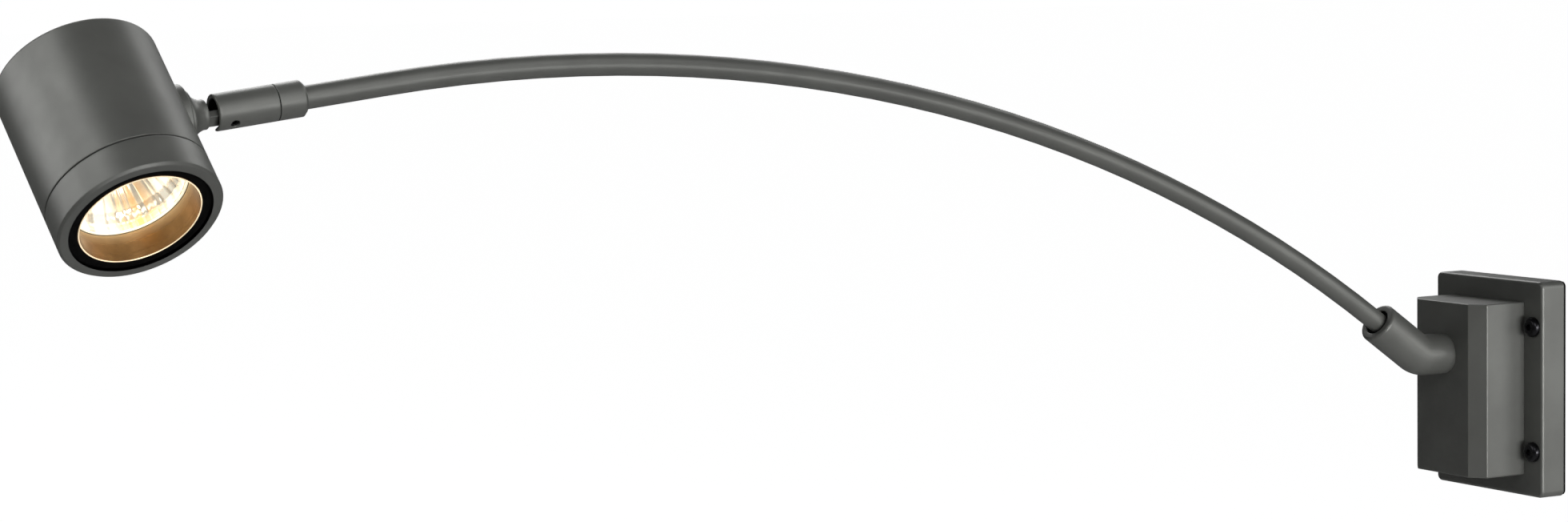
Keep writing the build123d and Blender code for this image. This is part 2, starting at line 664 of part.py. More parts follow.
# boss between the head and the knuckle: flange, waisted neck and a flat tongue, in one casting
with BuildPart() as tilt_boss:
    with BuildSketch(along_knuckle):
        with BuildLine():
            Line((0, boss_end), (neck_radius - edge_break, boss_end))
            RadiusArc((neck_radius - edge_break, boss_end), (neck_radius, boss_end + edge_break), -edge_break)
            Line((neck_radius, boss_end + edge_break), (neck_radius, neck_top))
            ThreePointArc((neck_radius, neck_top), flare_belly, (flare_radius, flange_back))
            Line((flare_radius, flange_back), (flange_radius, flange_back))
            Line((flange_radius, flange_back), (flange_radius, flange_face))
            Line((flange_radius, flange_face), (0, flange_face))
            Line((0, flange_face), (0, boss_end))
        make_face()
    revolve(axis=knuckle_axis)
    with BuildSketch(across_pivot.offset(tongue_low)):
        Circle(tongue_half_width)
        with Locations((neck_top / 2, 0)):
            Rectangle(neck_top, 2 * tongue_half_width)
    extrude(amount=tongue_thickness)
    with BuildSketch(across_pivot.offset(tongue_low)):
        Circle(pivot_radius + running)
    extrude(amount=tongue_thickness, mode=Mode.SUBTRACT)
    with BuildSketch(across_knuckle.offset(bolt_tip)):
        Circle(swivel_radius)
    extrude(amount=flange_face - bolt_tip, mode=Mode.SUBTRACT)
    with BuildSketch(across_knuckle.offset(boss_end)):
        with Locations((lead_hole_x, 0)):
            Circle(lead_hole_radius)
    extrude(amount=bolt_tip - boss_end, mode=Mode.SUBTRACT)
tilt_boss.part.label = "tilt_boss"
export_step(tilt_boss.part, "parts/tilt_boss.step")

# pivot pin: plain through the near wall and the tongue, threaded into the far wall
spacer_radius = 3.0
washer_radius = 2.8
cup_low = -math.sqrt(cup_radius**2 - (spacer_radius + 0.2) ** 2)
cup_high = math.sqrt(cup_radius**2 - (washer_radius + 0.1) ** 2)
pin_recess = 1.0
pin_socket = 1.2
with BuildPart() as pivot_pin:
    with BuildSketch(across_pivot.offset(cup_low)):
        Circle(pivot_radius)
    extrude(amount=knuckle_radius - pin_recess - cup_low)
    with BuildSketch(across_pivot.offset(cup_low)):
        Circle(pivot_radius * 0.75 - thread_gap)
    extrude(amount=-(knuckle_radius - free_gap + cup_low))
    with BuildSketch(across_pivot.offset(knuckle_radius - pin_recess)):
        RegularPolygon(pin_socket, 6)
    extrude(amount=-pin_socket * 2, mode=Mode.SUBTRACT)
pivot_pin.part.label = "pivot_pin"
export_step(pivot_pin.part, "parts/pivot_pin.step")

# spacer tube that keeps the tongue to one side of the cup
with BuildPart() as pivot_spacer:
    with BuildSketch(across_pivot.offset(cup_low)):
        Circle(spacer_radius)
        Circle(pivot_radius + running, mode=Mode.SUBTRACT)
    extrude(amount=tongue_low - fit_gap - cup_low)
pivot_spacer.part.label = "pivot_spacer"
export_step(pivot_spacer.part, "parts/pivot_spacer.step")

# friction washer on the other side of the tongue
with BuildPart() as pivot_washer:
    with BuildSketch(across_pivot.offset(tongue_high + fit_gap)):
        Circle(washer_radius)
        Circle(pivot_radius + running, mode=Mode.SUBTRACT)
    extrude(amount=cup_high - tongue_high - fit_gap)
pivot_washer.part.label = "pivot_washer"
export_step(pivot_washer.part, "parts/pivot_washer.step")

# friction disc between the flange of the boss and the pad of the head
with BuildPart() as head_disc:
    with BuildSketch(across_knuckle.offset(flange_face)):
        Circle(flange_radius - sheet_thickness)
        Circle(swivel_radius + fit_gap, mode=Mode.SUBTRACT)
    extrude(amount=pad_face - flange_face)
head_disc.part.label = "head_disc"
export_step(head_disc.part, "parts/head_disc.step")

# hollow bolt from inside the head into the boss: the bearing of the head's turn
spot_face = head_offset - head_bore - 0.7
spot_radius = 7.6
bolt_head_base = spot_face + sheet_thickness
bolt_head_height = 2.6
bolt_head_radius = 6.4
bolt_start = bolt_tip + edge_break
with BuildPart() as boss_bolt:
    with BuildSketch(across_knuckle.offset(bolt_start)):
        Circle(swivel_radius)
    extrude(amount=bolt_head_base - bolt_start)
    with BuildSketch(across_knuckle.offset(bolt_head_base)):
        RegularPolygon(bolt_head_radius, 6)
    extrude(amount=bolt_head_height)
    with BuildSketch(across_knuckle.offset(bolt_start)):
        Circle(lead_bore)
    extrude(amount=bolt_head_base + bolt_head_height - bolt_start, mode=Mode.SUBTRACT)
boss_bolt.part.label = "boss_bolt"
export_step(boss_bolt.part, "parts/boss_bolt.step")

# washer under the hexagon head of that bolt
with BuildPart() as bolt_washer:
    with BuildSketch(across_knuckle.offset(spot_face)):
        Circle(spot_radius - edge_break)
        Circle(swivel_radius + fit_gap, mode=Mode.SUBTRACT)
    extrude(amount=sheet_thickness)
bolt_washer.part.label = "bolt_washer"
export_step(bolt_washer.part, "parts/bolt_washer.step")

# ---- lamp head ----------------------------------------------------------------------------
floor_face = head_back + head_floor
back_edge = 1.6
holder_screw_core = 1.25
holder_screw_spots = [(0, -holder_screw_spread), (0, holder_screw_spread)]

# turned shell: closed back, round pad for the knuckle, thinner spigot for the front ring
with BuildPart() as head_shell:
    with BuildSketch(along_lamp):
        with BuildLine():
            Polyline(
                (0, head_back),
                (head_radius, head_back),
                (head_radius, seam_start),
                (spigot_ring_radius, seam_start),
                (spigot_ring_radius, spigot_ring_end),
                (head_bore, spigot_ring_end),
                (head_bore, floor_face),
                (0, floor_face),
                close=True,
            )
        make_face()
    revolve(axis=beam_axis)
    fillet(head_shell.edges().filter_by(GeomType.CIRCLE).group_by(beam_axis)[0], back_edge)
    with BuildSketch(across_knuckle.offset(pad_face)):
        Circle(pad_radius)
    extrude(amount=head_offset - head_bore - pad_face)
    chamfer(head_shell.edges().filter_by(GeomType.CIRCLE).sort_by(knuckle_axis)[0], burr)
    with BuildSketch(across_knuckle.offset(pad_face)):
        Circle(swivel_radius + running)
    extrude(amount=head_offset - head_bore, mode=Mode.SUBTRACT)
    with BuildSketch(across_knuckle.offset(spot_face)):
        Circle(spot_radius)
    extrude(amount=spot_radius, mode=Mode.SUBTRACT)
    with BuildSketch(across_lamp.offset(floor_face)):
        with Locations(*holder_screw_spots):
            Circle(holder_screw_core)
    extrude(amount=-head_floor * 0.75, mode=Mode.SUBTRACT)
head_shell.part.label = "head_shell"
export_step(head_shell.part, "parts/head_shell.step")

# weather seal in the seam behind the front ring
with BuildPart() as seam_seal:
    with BuildSketch(across_lamp.offset(seam_start)):
        Circle(head_radius - 1)
        Circle(spigot_ring_radius + thread_gap, mode=Mode.SUBTRACT)
    extrude(amount=seam_width - fit_gap)
seam_seal.part.label = "seam_seal"
export_step(seam_seal.part, "parts/seam_seal.step")

# front ring with an inward lip, threaded over the spigot
ring_edge = 1.0
lip_back = head_front - lip_thickness
ring_bore = spigot_ring_radius + running
with BuildPart() as front_ring:
    with BuildSketch(along_lamp):
        with BuildLine():
            Polyline(
                (ring_bore, seam_start + seam_width),
                (head_radius, seam_start + seam_width),
                (head_radius, head_front - ring_edge),
                (head_radius - ring_edge, head_front),
                (aperture_radius, head_front),
                (aperture_radius, lip_back),
                (ring_bore, lip_back),
                close=True,
            )
        make_face()
    revolve(axis=beam_axis)
front_ring.part.label = "front_ring"
export_step(front_ring.part, "parts/front_ring.step")

# flat black seal between the lip and the flange of the bronze tube
seal_base = lip_back - seal_thickness
window_outer = window_radius + window_wall
with BuildPart() as glazing_seal:
    with BuildSketch(across_lamp.offset(seal_base)):
        Circle(spigot_ring_radius)
        Circle(window_outer + free_gap, mode=Mode.SUBTRACT)
    extrude(amount=seal_thickness)
glazing_seal.part.label = "glazing_seal"
export_step(glazing_seal.part, "parts/glazing_seal.step")

# toughened front glass, bonded into the back of the bronze tube
window_back = lamp_front + edge_break
with BuildPart() as front_glass:
    with BuildSketch(across_lamp.offset(window_back)):
        Circle(window_radius - running)
    extrude(amount=glass_thickness)
    chamfer(front_glass.edges(), burr)
front_glass.part.label = "front_glass"
export_step(front_glass.part, "parts/front_glass.step")

# soft ring between the spigot and the flange of the bronze tube
flange_base = seal_base - window_flange
with BuildPart() as glass_ring:
    with BuildSketch(across_lamp.offset(spigot_ring_end)):
        Circle(spigot_ring_radius - edge_break)
        Circle(head_bore + free_gap, mode=Mode.SUBTRACT)
    extrude(amount=flange_base - spigot_ring_end - free_gap)
glass_ring.part.label = "glass_ring"
export_step(glass_ring.part, "parts/glass_ring.step")

# bronze anti-glare tube that carries the glass: clamped by its flange, rim proud of the seal
with BuildPart() as baffle:
    with BuildSketch(along_lamp):
        with BuildLine():
            Polyline(
                (window_radius, window_back),
                (window_outer, window_back),
                (window_outer, flange_base),
                (spigot_ring_radius - free_gap, flange_base),
                (spigot_ring_radius - free_gap, seal_base),
                (window_outer, seal_base),
                (window_outer, lip_back + free_gap),
                (window_radius, lip_back + free_gap),
                close=True,
            )
        make_face()
    revolve(axis=beam_axis)
baffle.part.label = "baffle"
export_step(baffle.part, "parts/baffle.step")

# ---- lamp ---------------------------------------------------------------------------------
lamp_back = lamp_front - lamp_length
shoulder = (lamp_radius - 0.8, lamp_front - rim_height - edge_break)
capsule_foot_radius = 3.0
capsule_radius = 3.6
capsule_waist = 10.0
capsule_top = 23.5

# pressed glass reflector: round outside, rings of flat facets inside
with BuildPart() as lamp_reflector:
    with BuildSketch(along_lamp):
        with BuildLine():
            Line((0, lamp_front), (lamp_radius, lamp_front))
            Line((lamp_radius, lamp_front), (lamp_radius, lamp_front - rim_height))
            Line((lamp_radius, lamp_front - rim_height), shoulder)
            ThreePointArc(shoulder, lamp_waist, (lamp_neck_radius, lamp_neck_level))
            Line((lamp_neck_radius, lamp_neck_level), (0, lamp_neck_level))
            Line((0, lamp_neck_level), (0, lamp_front))
        make_face()
    revolve(axis=beam_axis)
    with BuildSketch(across_lamp.offset(dish_levels[0])):
        Circle(dish_radii[0])
    extrude(amount=lamp_front - dish_levels[0], mode=Mode.SUBTRACT)
    for ring in range(len(dish_radii) - 1):
        twist = 180 / facet_count * ring
        with BuildSketch(across_lamp.offset(dish_levels[ring])):
            RegularPolygon(dish_radii[ring], facet_count, rotation=twist)
        with BuildSketch(across_lamp.offset(dish_levels[ring + 1])):
            RegularPolygon(dish_radii[ring + 1], facet_count, rotation=twist)
        loft(ruled=True, mode=Mode.SUBTRACT)
    with BuildSketch(across_lamp.offset(dish_levels[-1])):
        Circle(capsule_radius + 1)
    extrude(amount=lamp_neck_level - dish_levels[-1], mode=Mode.SUBTRACT)
lamp_reflector.part.label = "lamp_reflector"
export_step(lamp_reflector.part, "parts/lamp_reflector.step")

# cover glass of the lamp
lens_thickness = 2.0
lens_edge = 0.8
with BuildPart() as lamp_lens:
    with BuildSketch(across_lamp.offset(dish_levels[0] + edge_break)):
        Circle(dish_radii[0] - running)
    extrude(amount=lens_thickness)
    fillet(lamp_lens.edges().group_by(beam_axis)[-1], lens_edge)
lamp_lens.part.label = "lamp_lens"
export_step(lamp_lens.part, "parts/lamp_lens.step")

# burner capsule on the axis of the reflector
with BuildPart() as lamp_capsule:
    with BuildSketch(along_lamp):
        with BuildLine():
            Line((0, lamp_neck_level), (capsule_foot_radius, lamp_neck_level))
            Line((capsule_foot_radius, lamp_neck_level), (capsule_foot_radius, capsule_waist))
            Line((capsule_foot_radius, capsule_waist), (capsule_radius, capsule_waist + 1.2))
            Line((capsule_radius, capsule_waist + 1.2), (capsule_radius, capsule_top))
            RadiusArc((capsule_radius, capsule_top), (0, capsule_top + capsule_radius), -capsule_radius)
            Line((0, capsule_top + capsule_radius), (0, lamp_neck_level))
        make_face()
    revolve(axis=beam_axis)
lamp_capsule.part.label = "lamp_capsule"
export_step(lamp_capsule.part, "parts/lamp_capsule.step")

# ceramic base of the lamp, with a shoulder and two flattened sides
base_shoulder = -4.0
base_step = 1.4
base_flat_half = 7.5
with BuildPart() as lamp_base:
    with BuildSketch(along_lamp):
        with BuildLine():
            Polyline(
                (0, lamp_neck_level),
                (lamp_neck_radius, lamp_neck_level),
                (lamp_neck_radius, base_shoulder),
                (lamp_neck_radius - base_step, base_shoulder - base_step),
                (lamp_neck_radius - base_step, lamp_back),
                (0, lamp_back),
                close=True,
            )
        make_face()
    revolve(axis=beam_axis)
    with BuildSketch(across_lamp.offset(lamp_back)):
        Circle(lamp_neck_radius + 1)
        Rectangle(2 * base_flat_half, 4 * lamp_neck_radius, mode=Mode.SUBTRACT)
    extrude(amount=base_shoulder - 2 * base_step - lamp_back, mode=Mode.SUBTRACT)
lamp_base.part.label = "lamp_base"
export_step(lamp_base.part, "parts/lamp_base.step")

# two stepped contact pins
pin_spots = [(0, -pin_half_pitch), (0, pin_half_pitch)]
with BuildPart() as lamp_pins:
    with BuildSketch(across_lamp.offset(lamp_back)):
        with Locations(*pin_spots):
            Circle(pin_radius)
    extrude(amount=-pin_length)
    with BuildSketch(across_lamp.offset(lamp_back - pin_length)):
        with Locations(*pin_spots):
            Circle(pin_foot_radius)
    extrude(amount=-pin_foot_length)
lamp_pins.part.label = "lamp_pins"
export_step(lamp_pins.part, "parts/lamp_pins.step")

# ---- lamp holder --------------------------------------------------------------------------
holder_front = lamp_back - free_gap
holder_back = floor_face + holder_plate_thickness
keyhole_lip = pin_length - free_gap - 2 * fit_gap
keyhole_depth = pin_length + pin_foot_length
keyhole_path = CenterArc((0, 0), pin_half_pitch, 90, keyhole_turn)

# ceramic holder: the pin feet enter the round holes and twist along under the narrow slots
with BuildPart() as lamp_holder:
    with BuildSketch(across_lamp.offset(holder_back)):
        Circle(holder_radius)
    extrude(amount=holder_front - holder_back)
    chamfer(lamp_holder.edges().group_by(beam_axis)[-1], edge_break)
    with BuildSketch(across_lamp.offset(holder_front)):
        with PolarLocations(0, 2):
            SlotArc(keyhole_path, 2 * (pin_radius + free_gap))
        with PolarLocations(pin_half_pitch, 2, start_angle=90 + keyhole_turn):
            Circle(pin_foot_radius + free_gap)
    extrude(amount=-keyhole_lip, mode=Mode.SUBTRACT)
    with BuildSketch(across_lamp.offset(holder_front - keyhole_lip)):
        with PolarLocations(0, 2):
            SlotArc(keyhole_path, 2 * (pin_foot_radius + free_gap))
    extrude(amount=keyhole_lip - keyhole_depth, mode=Mode.SUBTRACT)
lamp_holder.part.label = "lamp_holder"
export_step(lamp_holder.part, "parts/lamp_holder.step")

# steel plate that carries the holder on the floor of the shell
holder_plate_width = 24.0
with BuildPart() as holder_plate:
    with BuildSketch(across_lamp.offset(floor_face)):
        SlotOverall(2 * holder_screw_spread + holder_plate_width / 2, holder_plate_width, rotation=90)
        with Locations(*holder_screw_spots):
            Circle(holder_screw_core + free_gap, mode=Mode.SUBTRACT)
    extrude(amount=holder_plate_thickness)
holder_plate.part.label = "holder_plate"
export_step(holder_plate.part, "parts/holder_plate.step")

# two small screws through that plate into the floor
small_head_radius = 2.6
small_head_height = 1.8
small_cross = 3.4
small_cross_width = 0.7
with BuildPart() as holder_screws:
    with BuildSketch(across_lamp.offset(holder_back)):
        with Locations(*holder_screw_spots):
            Circle(small_head_radius)
    extrude(amount=small_head_height)
    with BuildSketch(across_lamp.offset(holder_back)):
        with Locations(*holder_screw_spots):
            Circle(holder_screw_core - thread_gap)
    extrude(amount=-(holder_plate_thickness + head_floor / 2))
    with BuildSketch(across_lamp.offset(holder_back + small_head_height)):
        with Locations(*holder_screw_spots):
            Rectangle(small_cross, small_cross_width)
            Rectangle(small_cross_width, small_cross)
    extrude(amount=-small_head_height / 2, mode=Mode.SUBTRACT)
holder_screws.part.label = "holder_screws"
export_step(holder_screws.part, "parts/holder_screws.step")
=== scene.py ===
# %% [markdown]
# A wall light on a long curved arm, dressed round a imported CAD model.
# The CAD model gives every solid its place, in metres: the origin is the centre of the wall face,
# +Y goes into the wall, -Y comes out along the arm and +Z is up. This file adds what CAD leaves
# out: the finishes, the light in the lamp, its coil and flutes, and three thin rings.
# The first cell loads that model as a fixed frame.

import json
import math

import bmesh
import bpy
from mathutils import Matrix, Vector


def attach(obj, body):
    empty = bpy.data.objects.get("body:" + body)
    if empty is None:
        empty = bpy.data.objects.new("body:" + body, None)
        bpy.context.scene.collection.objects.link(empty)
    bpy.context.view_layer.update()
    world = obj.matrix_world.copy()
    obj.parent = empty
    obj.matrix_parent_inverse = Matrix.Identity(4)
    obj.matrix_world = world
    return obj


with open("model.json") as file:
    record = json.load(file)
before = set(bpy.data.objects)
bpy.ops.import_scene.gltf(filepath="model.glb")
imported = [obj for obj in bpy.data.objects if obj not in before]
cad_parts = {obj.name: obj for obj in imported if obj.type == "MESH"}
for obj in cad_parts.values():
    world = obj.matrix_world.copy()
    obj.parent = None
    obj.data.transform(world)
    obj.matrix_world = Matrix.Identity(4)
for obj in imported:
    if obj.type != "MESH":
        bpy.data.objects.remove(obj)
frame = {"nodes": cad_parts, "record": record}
nodes = frame["nodes"]
scene = bpy.context.scene
scene.view_settings.view_transform = "Standard"
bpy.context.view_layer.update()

# %% [markdown]
# Three directions carry the whole light. The arm ends pointing slightly down along arm_axis. The
# lamp shines along lamp_axis, square to it. The tilt pivot and the lamp centre lie on the arm's
# line. They are written as the CAD source writes them, from the same few sizes, so every added
# piece lands on the solid that carries it.

# %% Directions and centres shared with the CAD
MM = 0.001
tip_drop = math.radians(7.0)
elbow_climb = math.radians(35.5)
lamp_turn = math.radians(43.65)
arm_radius = 746.0 * MM
arm_axis = Vector((0, -math.cos(tip_drop), -math.sin(tip_drop)))
straight_down = Vector((0, math.sin(tip_drop), -math.cos(tip_drop)))
lamp_axis = straight_down * math.cos(lamp_turn) + Vector((1, 0, 0)) * math.sin(lamp_turn)
climb_axis = Vector((0, -math.cos(elbow_climb), math.sin(elbow_climb)))
elbow_mouth = Vector((0, -60.5 * MM, 17.2 * MM)) + climb_axis * 31.4 * MM
bend_centre = elbow_mouth - Vector((0, math.sin(elbow_climb), math.cos(elbow_climb))) * arm_radius
bend_end = bend_centre + Vector((0, -math.sin(tip_drop), math.cos(tip_drop))) * arm_radius
tilt_pivot = bend_end + arm_axis * 68.1 * MM
lamp_centre = tilt_pivot + arm_axis * 54.8 * MM
print("pivot", [round(v, 5) for v in tilt_pivot], "lamp", [round(v, 5) for v in lamp_centre])

# %% [markdown]
# A piece is easiest to model upright at the origin, with its axis along Z. A frame matrix then
# carries the finished mesh to its place, and the object itself stays at the origin. Each frame
# below has its Z along the axis that its pieces turn about.


# %% Frames for pieces that sit on an axis
def frame_along(origin, z_axis, x_axis):
    """A matrix that takes +Z to z_axis and +X as near to x_axis as it can."""
    z = z_axis.normalized()
    x = (x_axis - z * x_axis.dot(z)).normalized()
    y = z.cross(x)
    return Matrix.Translation(origin) @ Matrix((x, y, z)).transposed().to_4x4()


lamp_frame = frame_along(lamp_centre, lamp_axis, -arm_axis)
knuckle_frame = frame_along(tilt_pivot, arm_axis, lamp_axis)
print("frames ready, lamp axis", [round(v, 4) for v in lamp_axis])

# %% [markdown]
# The camera stands where the photograph was taken from: at the lamp side of the arm, nearly level
# with it, through a long lens. The turn about its own axis is under one degree. The numbers come
# from fitting the box, the arm and the head to the photograph, which leaves their outlines a few
# pixels off.

# %% Camera
PHOTO_WIDTH = 1960     # pixels
FOCAL_PIXELS = 4500    # focal length in pixels of the photograph
SENSOR_WIDTH = 36.0    # millimetres
camera_place = (1.3935, -1.1988, 0.2193)
view_azimuth = math.radians(60.775)
view_height = math.radians(4.841)
view_roll = math.radians(-0.95)
camera_back = Vector((
    math.sin(view_azimuth) * math.cos(view_height),
    -math.cos(view_azimuth) * math.cos(view_height),
    math.sin(view_height),
))
level_right = Vector((math.cos(view_azimuth), math.sin(view_azimuth), 0))
level_up = camera_back.cross(level_right)
camera_right = level_right * math.cos(view_roll) + level_up * math.sin(view_roll)
camera_up = level_up * math.cos(view_roll) - level_right * math.sin(view_roll)
camera_data = bpy.data.cameras.new("camera")
camera_data.sensor_width = SENSOR_WIDTH
camera_data.lens = FOCAL_PIXELS * SENSOR_WIDTH / PHOTO_WIDTH
camera_data.clip_start = 0.05
camera_data.clip_end = 60
camera = bpy.data.objects.new("camera", camera_data)
scene.collection.objects.link(camera)
turned = Matrix((camera_right, camera_up, camera_back)).transposed().to_4x4()
camera.matrix_world = Matrix.Translation(camera_place) @ turned
scene.camera = camera
print("lens", round(camera_data.lens, 2), "mm")

# %% [markdown]
# The studio and every finish are built from shader nodes. A few small helpers keep that short: one
# empties a tree, one adds a node with its settings, one links two sockets and one does a sum.
# Two more are for the white studio: they tell which rays see a thing directly.


# %% Node helpers
def clear_tree(holder):
    """Turns nodes on for a material or a world and returns its empty tree."""
    holder.use_nodes = True
    holder.node_tree.nodes.clear()
    return holder.node_tree


def add(tree, kind, **settings):
    """A node of the named kind. Settings are input names and values, or the node's own fields."""
    node = tree.nodes.new(kind)
    for name, value in settings.items():
        label = name.replace("_", " ")
        if label in node.inputs:
            node.inputs[label].default_value = value
        else:
            setattr(node, name, value)
    return node


def wire(tree, source, target):
    """A link from an output socket to an input socket."""
    tree.links.new(source, target)


def arithmetic(tree, operation, first, second):
    """A Math node. Each side is a socket or a plain number."""
    node = add(tree, "ShaderNodeMath", operation=operation)
    for side, value in enumerate((first, second)):
        if isinstance(value, (int, float)):
            node.inputs[side].default_value = value
        else:
            wire(tree, value, node.inputs[side])
    return node.outputs[0]


def seen_directly(tree, mirror_share=0.05):
    """One for a ray from the camera or through glass, less for a mirrored one, else nought."""
    path = add(tree, "ShaderNodeLightPath").outputs
    mirrored = arithmetic(tree, "MULTIPLY", path["Is Glossy Ray"], mirror_share)
    through = arithmetic(tree, "MAXIMUM", path["Is Camera Ray"], path["Is Transmission Ray"])
    return arithmetic(tree, "MAXIMUM", mirrored, through)


def show_when_seen(tree, plain, shown, out):
    """Sends shown to the output where a ray sees it directly, and plain everywhere else."""
    choose = add(tree, "ShaderNodeMixShader")
    wire(tree, seen_directly(tree), choose.inputs[0])
    wire(tree, plain.outputs[0], choose.inputs[1])
    wire(tree, shown.outputs[0], choose.inputs[2])
    wire(tree, choose.outputs[0], out.inputs[0])


print("helpers ready")

# %% [markdown]
# The photograph is a studio cut-out on white. The floor and the world show white to the camera and
# through glass, and a twentieth of it to mirrors. To the object the world gives only a weak, soft
# ambient light, so that the whiteness comes from their colour and not from more light. The floor
# lies well below, and has a plain diffuse surface under its glow.

# %% World and floor
AMBIENT_STRENGTH = 0.02
FLOOR_GLOW = 0.98
FLOOR_LEVEL = -0.36
FLOOR_REACH = 30.0    # metres, far past what the camera sees

world = bpy.data.worlds.new("studio")
scene.world = world
tree = clear_tree(world)
out = add(tree, "ShaderNodeOutputWorld")
ambient = add(
    tree, "ShaderNodeBackground", Color=(0.94, 0.97, 1.0, 1), Strength=AMBIENT_STRENGTH,
)
white = add(tree, "ShaderNodeBackground", Color=(1, 1, 1, 1), Strength=1.0)
show_when_seen(tree, ambient, white, out)

floor_mesh = bpy.data.meshes.new("floor")
bm = bmesh.new()
bmesh.ops.create_grid(bm, x_segments=1, y_segments=1, size=FLOOR_REACH)
bmesh.ops.translate(bm, verts=bm.verts, vec=(0, 0, FLOOR_LEVEL))
bm.to_mesh(floor_mesh)
bm.free()
floor = bpy.data.objects.new("floor", floor_mesh)
scene.collection.objects.link(floor)
floor_paint = bpy.data.materials.new("floor_paint")
tree = clear_tree(floor_paint)
out = add(tree, "ShaderNodeOutputMaterial")
matt = add(tree, "ShaderNodeBsdfDiffuse", Color=(0.8, 0.8, 0.8, 1))
glow = add(tree, "ShaderNodeEmission", Color=(1, 1, 1, 1), Strength=FLOOR_GLOW)
both = add(tree, "ShaderNodeAddShader")
wire(tree, matt.outputs[0], both.inputs[0])
wire(tree, glow.outputs[0], both.inputs[1])
show_when_seen(tree, matt, both, out)
floor_mesh.materials.append(floor_paint)
print("floor at", FLOOR_LEVEL)

# %% [markdown]
# Soft boxes stand for the studio. Each shines in a narrow beam, as behind a grid, and those near an
# end of the object light that end alone. The head has a broad key light from beyond the lamp end
# with a low and a high one beside it, and one from the +X side, with a dark band between them.
# Weaker ones come from behind, from below and from above on the right. The wall end is lit from
# the +X side at its own height, with three weak ones. A large one farther off on the -X side
# lights the far half, which this photograph doesn't show. The camera doesn't see the boxes.


# %% Studio lights
def soft_box(name, place, aim, size, power, beam):
    """A rectangular area lamp at place that shines towards aim, in a beam of so many degrees."""
    data = bpy.data.lights.new(name, "AREA")
    data.shape = "RECTANGLE"
    data.size, data.size_y = size
    data.energy = power
    data.spread = math.radians(beam)
    lamp = bpy.data.objects.new(name, data)
    scene.collection.objects.link(lamp)
    lamp.location = place
    lamp.visible_camera = False
    lamp.rotation_mode = "QUATERNION"
    lamp.rotation_quaternion = (Vector(aim) - Vector(place)).to_track_quat("-Z", "Y")
    return lamp


def around(aim, azimuth, height, distance):
    """The place at that distance from aim: azimuth 0 is out along -Y, 90 is +X."""
    turn, rise = math.radians(azimuth), math.radians(height)
    level = math.cos(rise)
    direction = Vector((math.sin(turn) * level, -math.cos(turn) * level, math.sin(rise)))
    return aim + direction * distance


head_spot = Vector((0, -0.73, 0.15))
wall_spot = Vector((0.02, -0.03, 0.02))
arm_spot = Vector((0, -0.38, 0.15))
for name, aim, azimuth, height, distance, size, power, beam in (
    ("head_key", head_spot, -25, 26, 0.6, (0.37, 0.46), 0.145, 45),
    ("head_low", head_spot, -38, 8, 0.6, (0.28, 0.28), 0.049, 45),
    ("head_high", head_spot, -5, 52, 0.6, (0.28, 0.28), 0.083, 45),
    ("head_side", head_spot, 90, 14, 0.9, (0.5, 0.5), 0.42, 45),
    ("head_right", head_spot, 130, 35, 1.0, (0.5, 0.5), 0.12, 45),
    ("head_under", head_spot, 78, -30, 0.6, (0.4, 0.4), 0.09, 50),
    ("head_rim", head_spot, 200, 30, 1.3, (0.5, 0.5), 0.13, 40),
    ("wall_side", wall_spot, 88, -4, 1.3, (0.9, 0.3), 2.0, 60),
    ("wall_rim", wall_spot, 108, 4, 1.3, (0.5, 0.3), 0.10, 60),
    ("wall_back", wall_spot, 130, 8, 0.8, (0.3, 0.5), 0.18, 60),
    ("wall_front", wall_spot, 40, 28, 0.8, (0.3, 0.3), 0.08, 50),
    ("far_side", arm_spot, 250, 32, 2.2, (2.0, 1.6), 4.5, 60),
):
    soft_box(name, around(aim, azimuth, height, distance), aim, size, power, beam)

# %% [markdown]
# Nearly every finish is built the same way: a Principled shader, with noise in Object coordinates
# that varies its colour, roughness and height a little. Object coordinates are in metres and the
# same on every piece, so a grain of a quarter of a millimetre is as fine on all of them.


# %% Finish helpers
def finish(name, **settings):
    """A material, with its tree, its Principled shader and the coordinates it reads."""
    made = bpy.data.materials.new(name)
    tree = clear_tree(made)
    out = add(tree, "ShaderNodeOutputMaterial")
    shader = add(tree, "ShaderNodeBsdfPrincipled", **settings)
    place = add(tree, "ShaderNodeTexCoord")
    wire(tree, shader.outputs[0], out.inputs[0])
    return made, tree, shader, place.outputs["Object"]


def noise(tree, place, size, detail=3.0, roughness=0.55):
    """Noise with features of about that size in millimetres. Returns the Fac output."""
    node = add(tree, "ShaderNodeTexNoise", Scale=1000.0 / size, Detail=detail, Roughness=roughness)
    wire(tree, place, node.inputs["Vector"])
    return node.outputs["Fac"]


def spread(tree, value, low, high, start=0.3, stop=0.7):
    """Maps a noise value from start..stop to low..high."""
    node = add(tree, "ShaderNodeMapRange")
    wire(tree, value, node.inputs["Value"])
    limits = {"From Min": start, "From Max": stop, "To Min": low, "To Max": high}
    for name, number in limits.items():
        node.inputs[name].default_value = number
    return node.outputs["Result"]


def blend_colours(tree, value, dark, light):
    """A colour between dark and light by a 0..1 value."""
    node = add(tree, "ShaderNodeMix", data_type="RGBA")
    wire(tree, value, node.inputs[0])
    node.inputs[6].default_value = (*dark, 1)
    node.inputs[7].default_value = (*light, 1)
    return node.outputs[2]


def relief(tree, shader, height, depth, after=None):
    """Raises the surface by height times depth millimetres. Returns the normal, to go on from."""
    node = add(tree, "ShaderNodeBump", Strength=1.0, Distance=depth * MM)
    wire(tree, height, node.inputs["Height"])
    if after is not None:
        wire(tree, after, node.inputs["Normal"])
    wire(tree, node.outputs["Normal"], shader.inputs["Normal"])
    return node.outputs["Normal"]


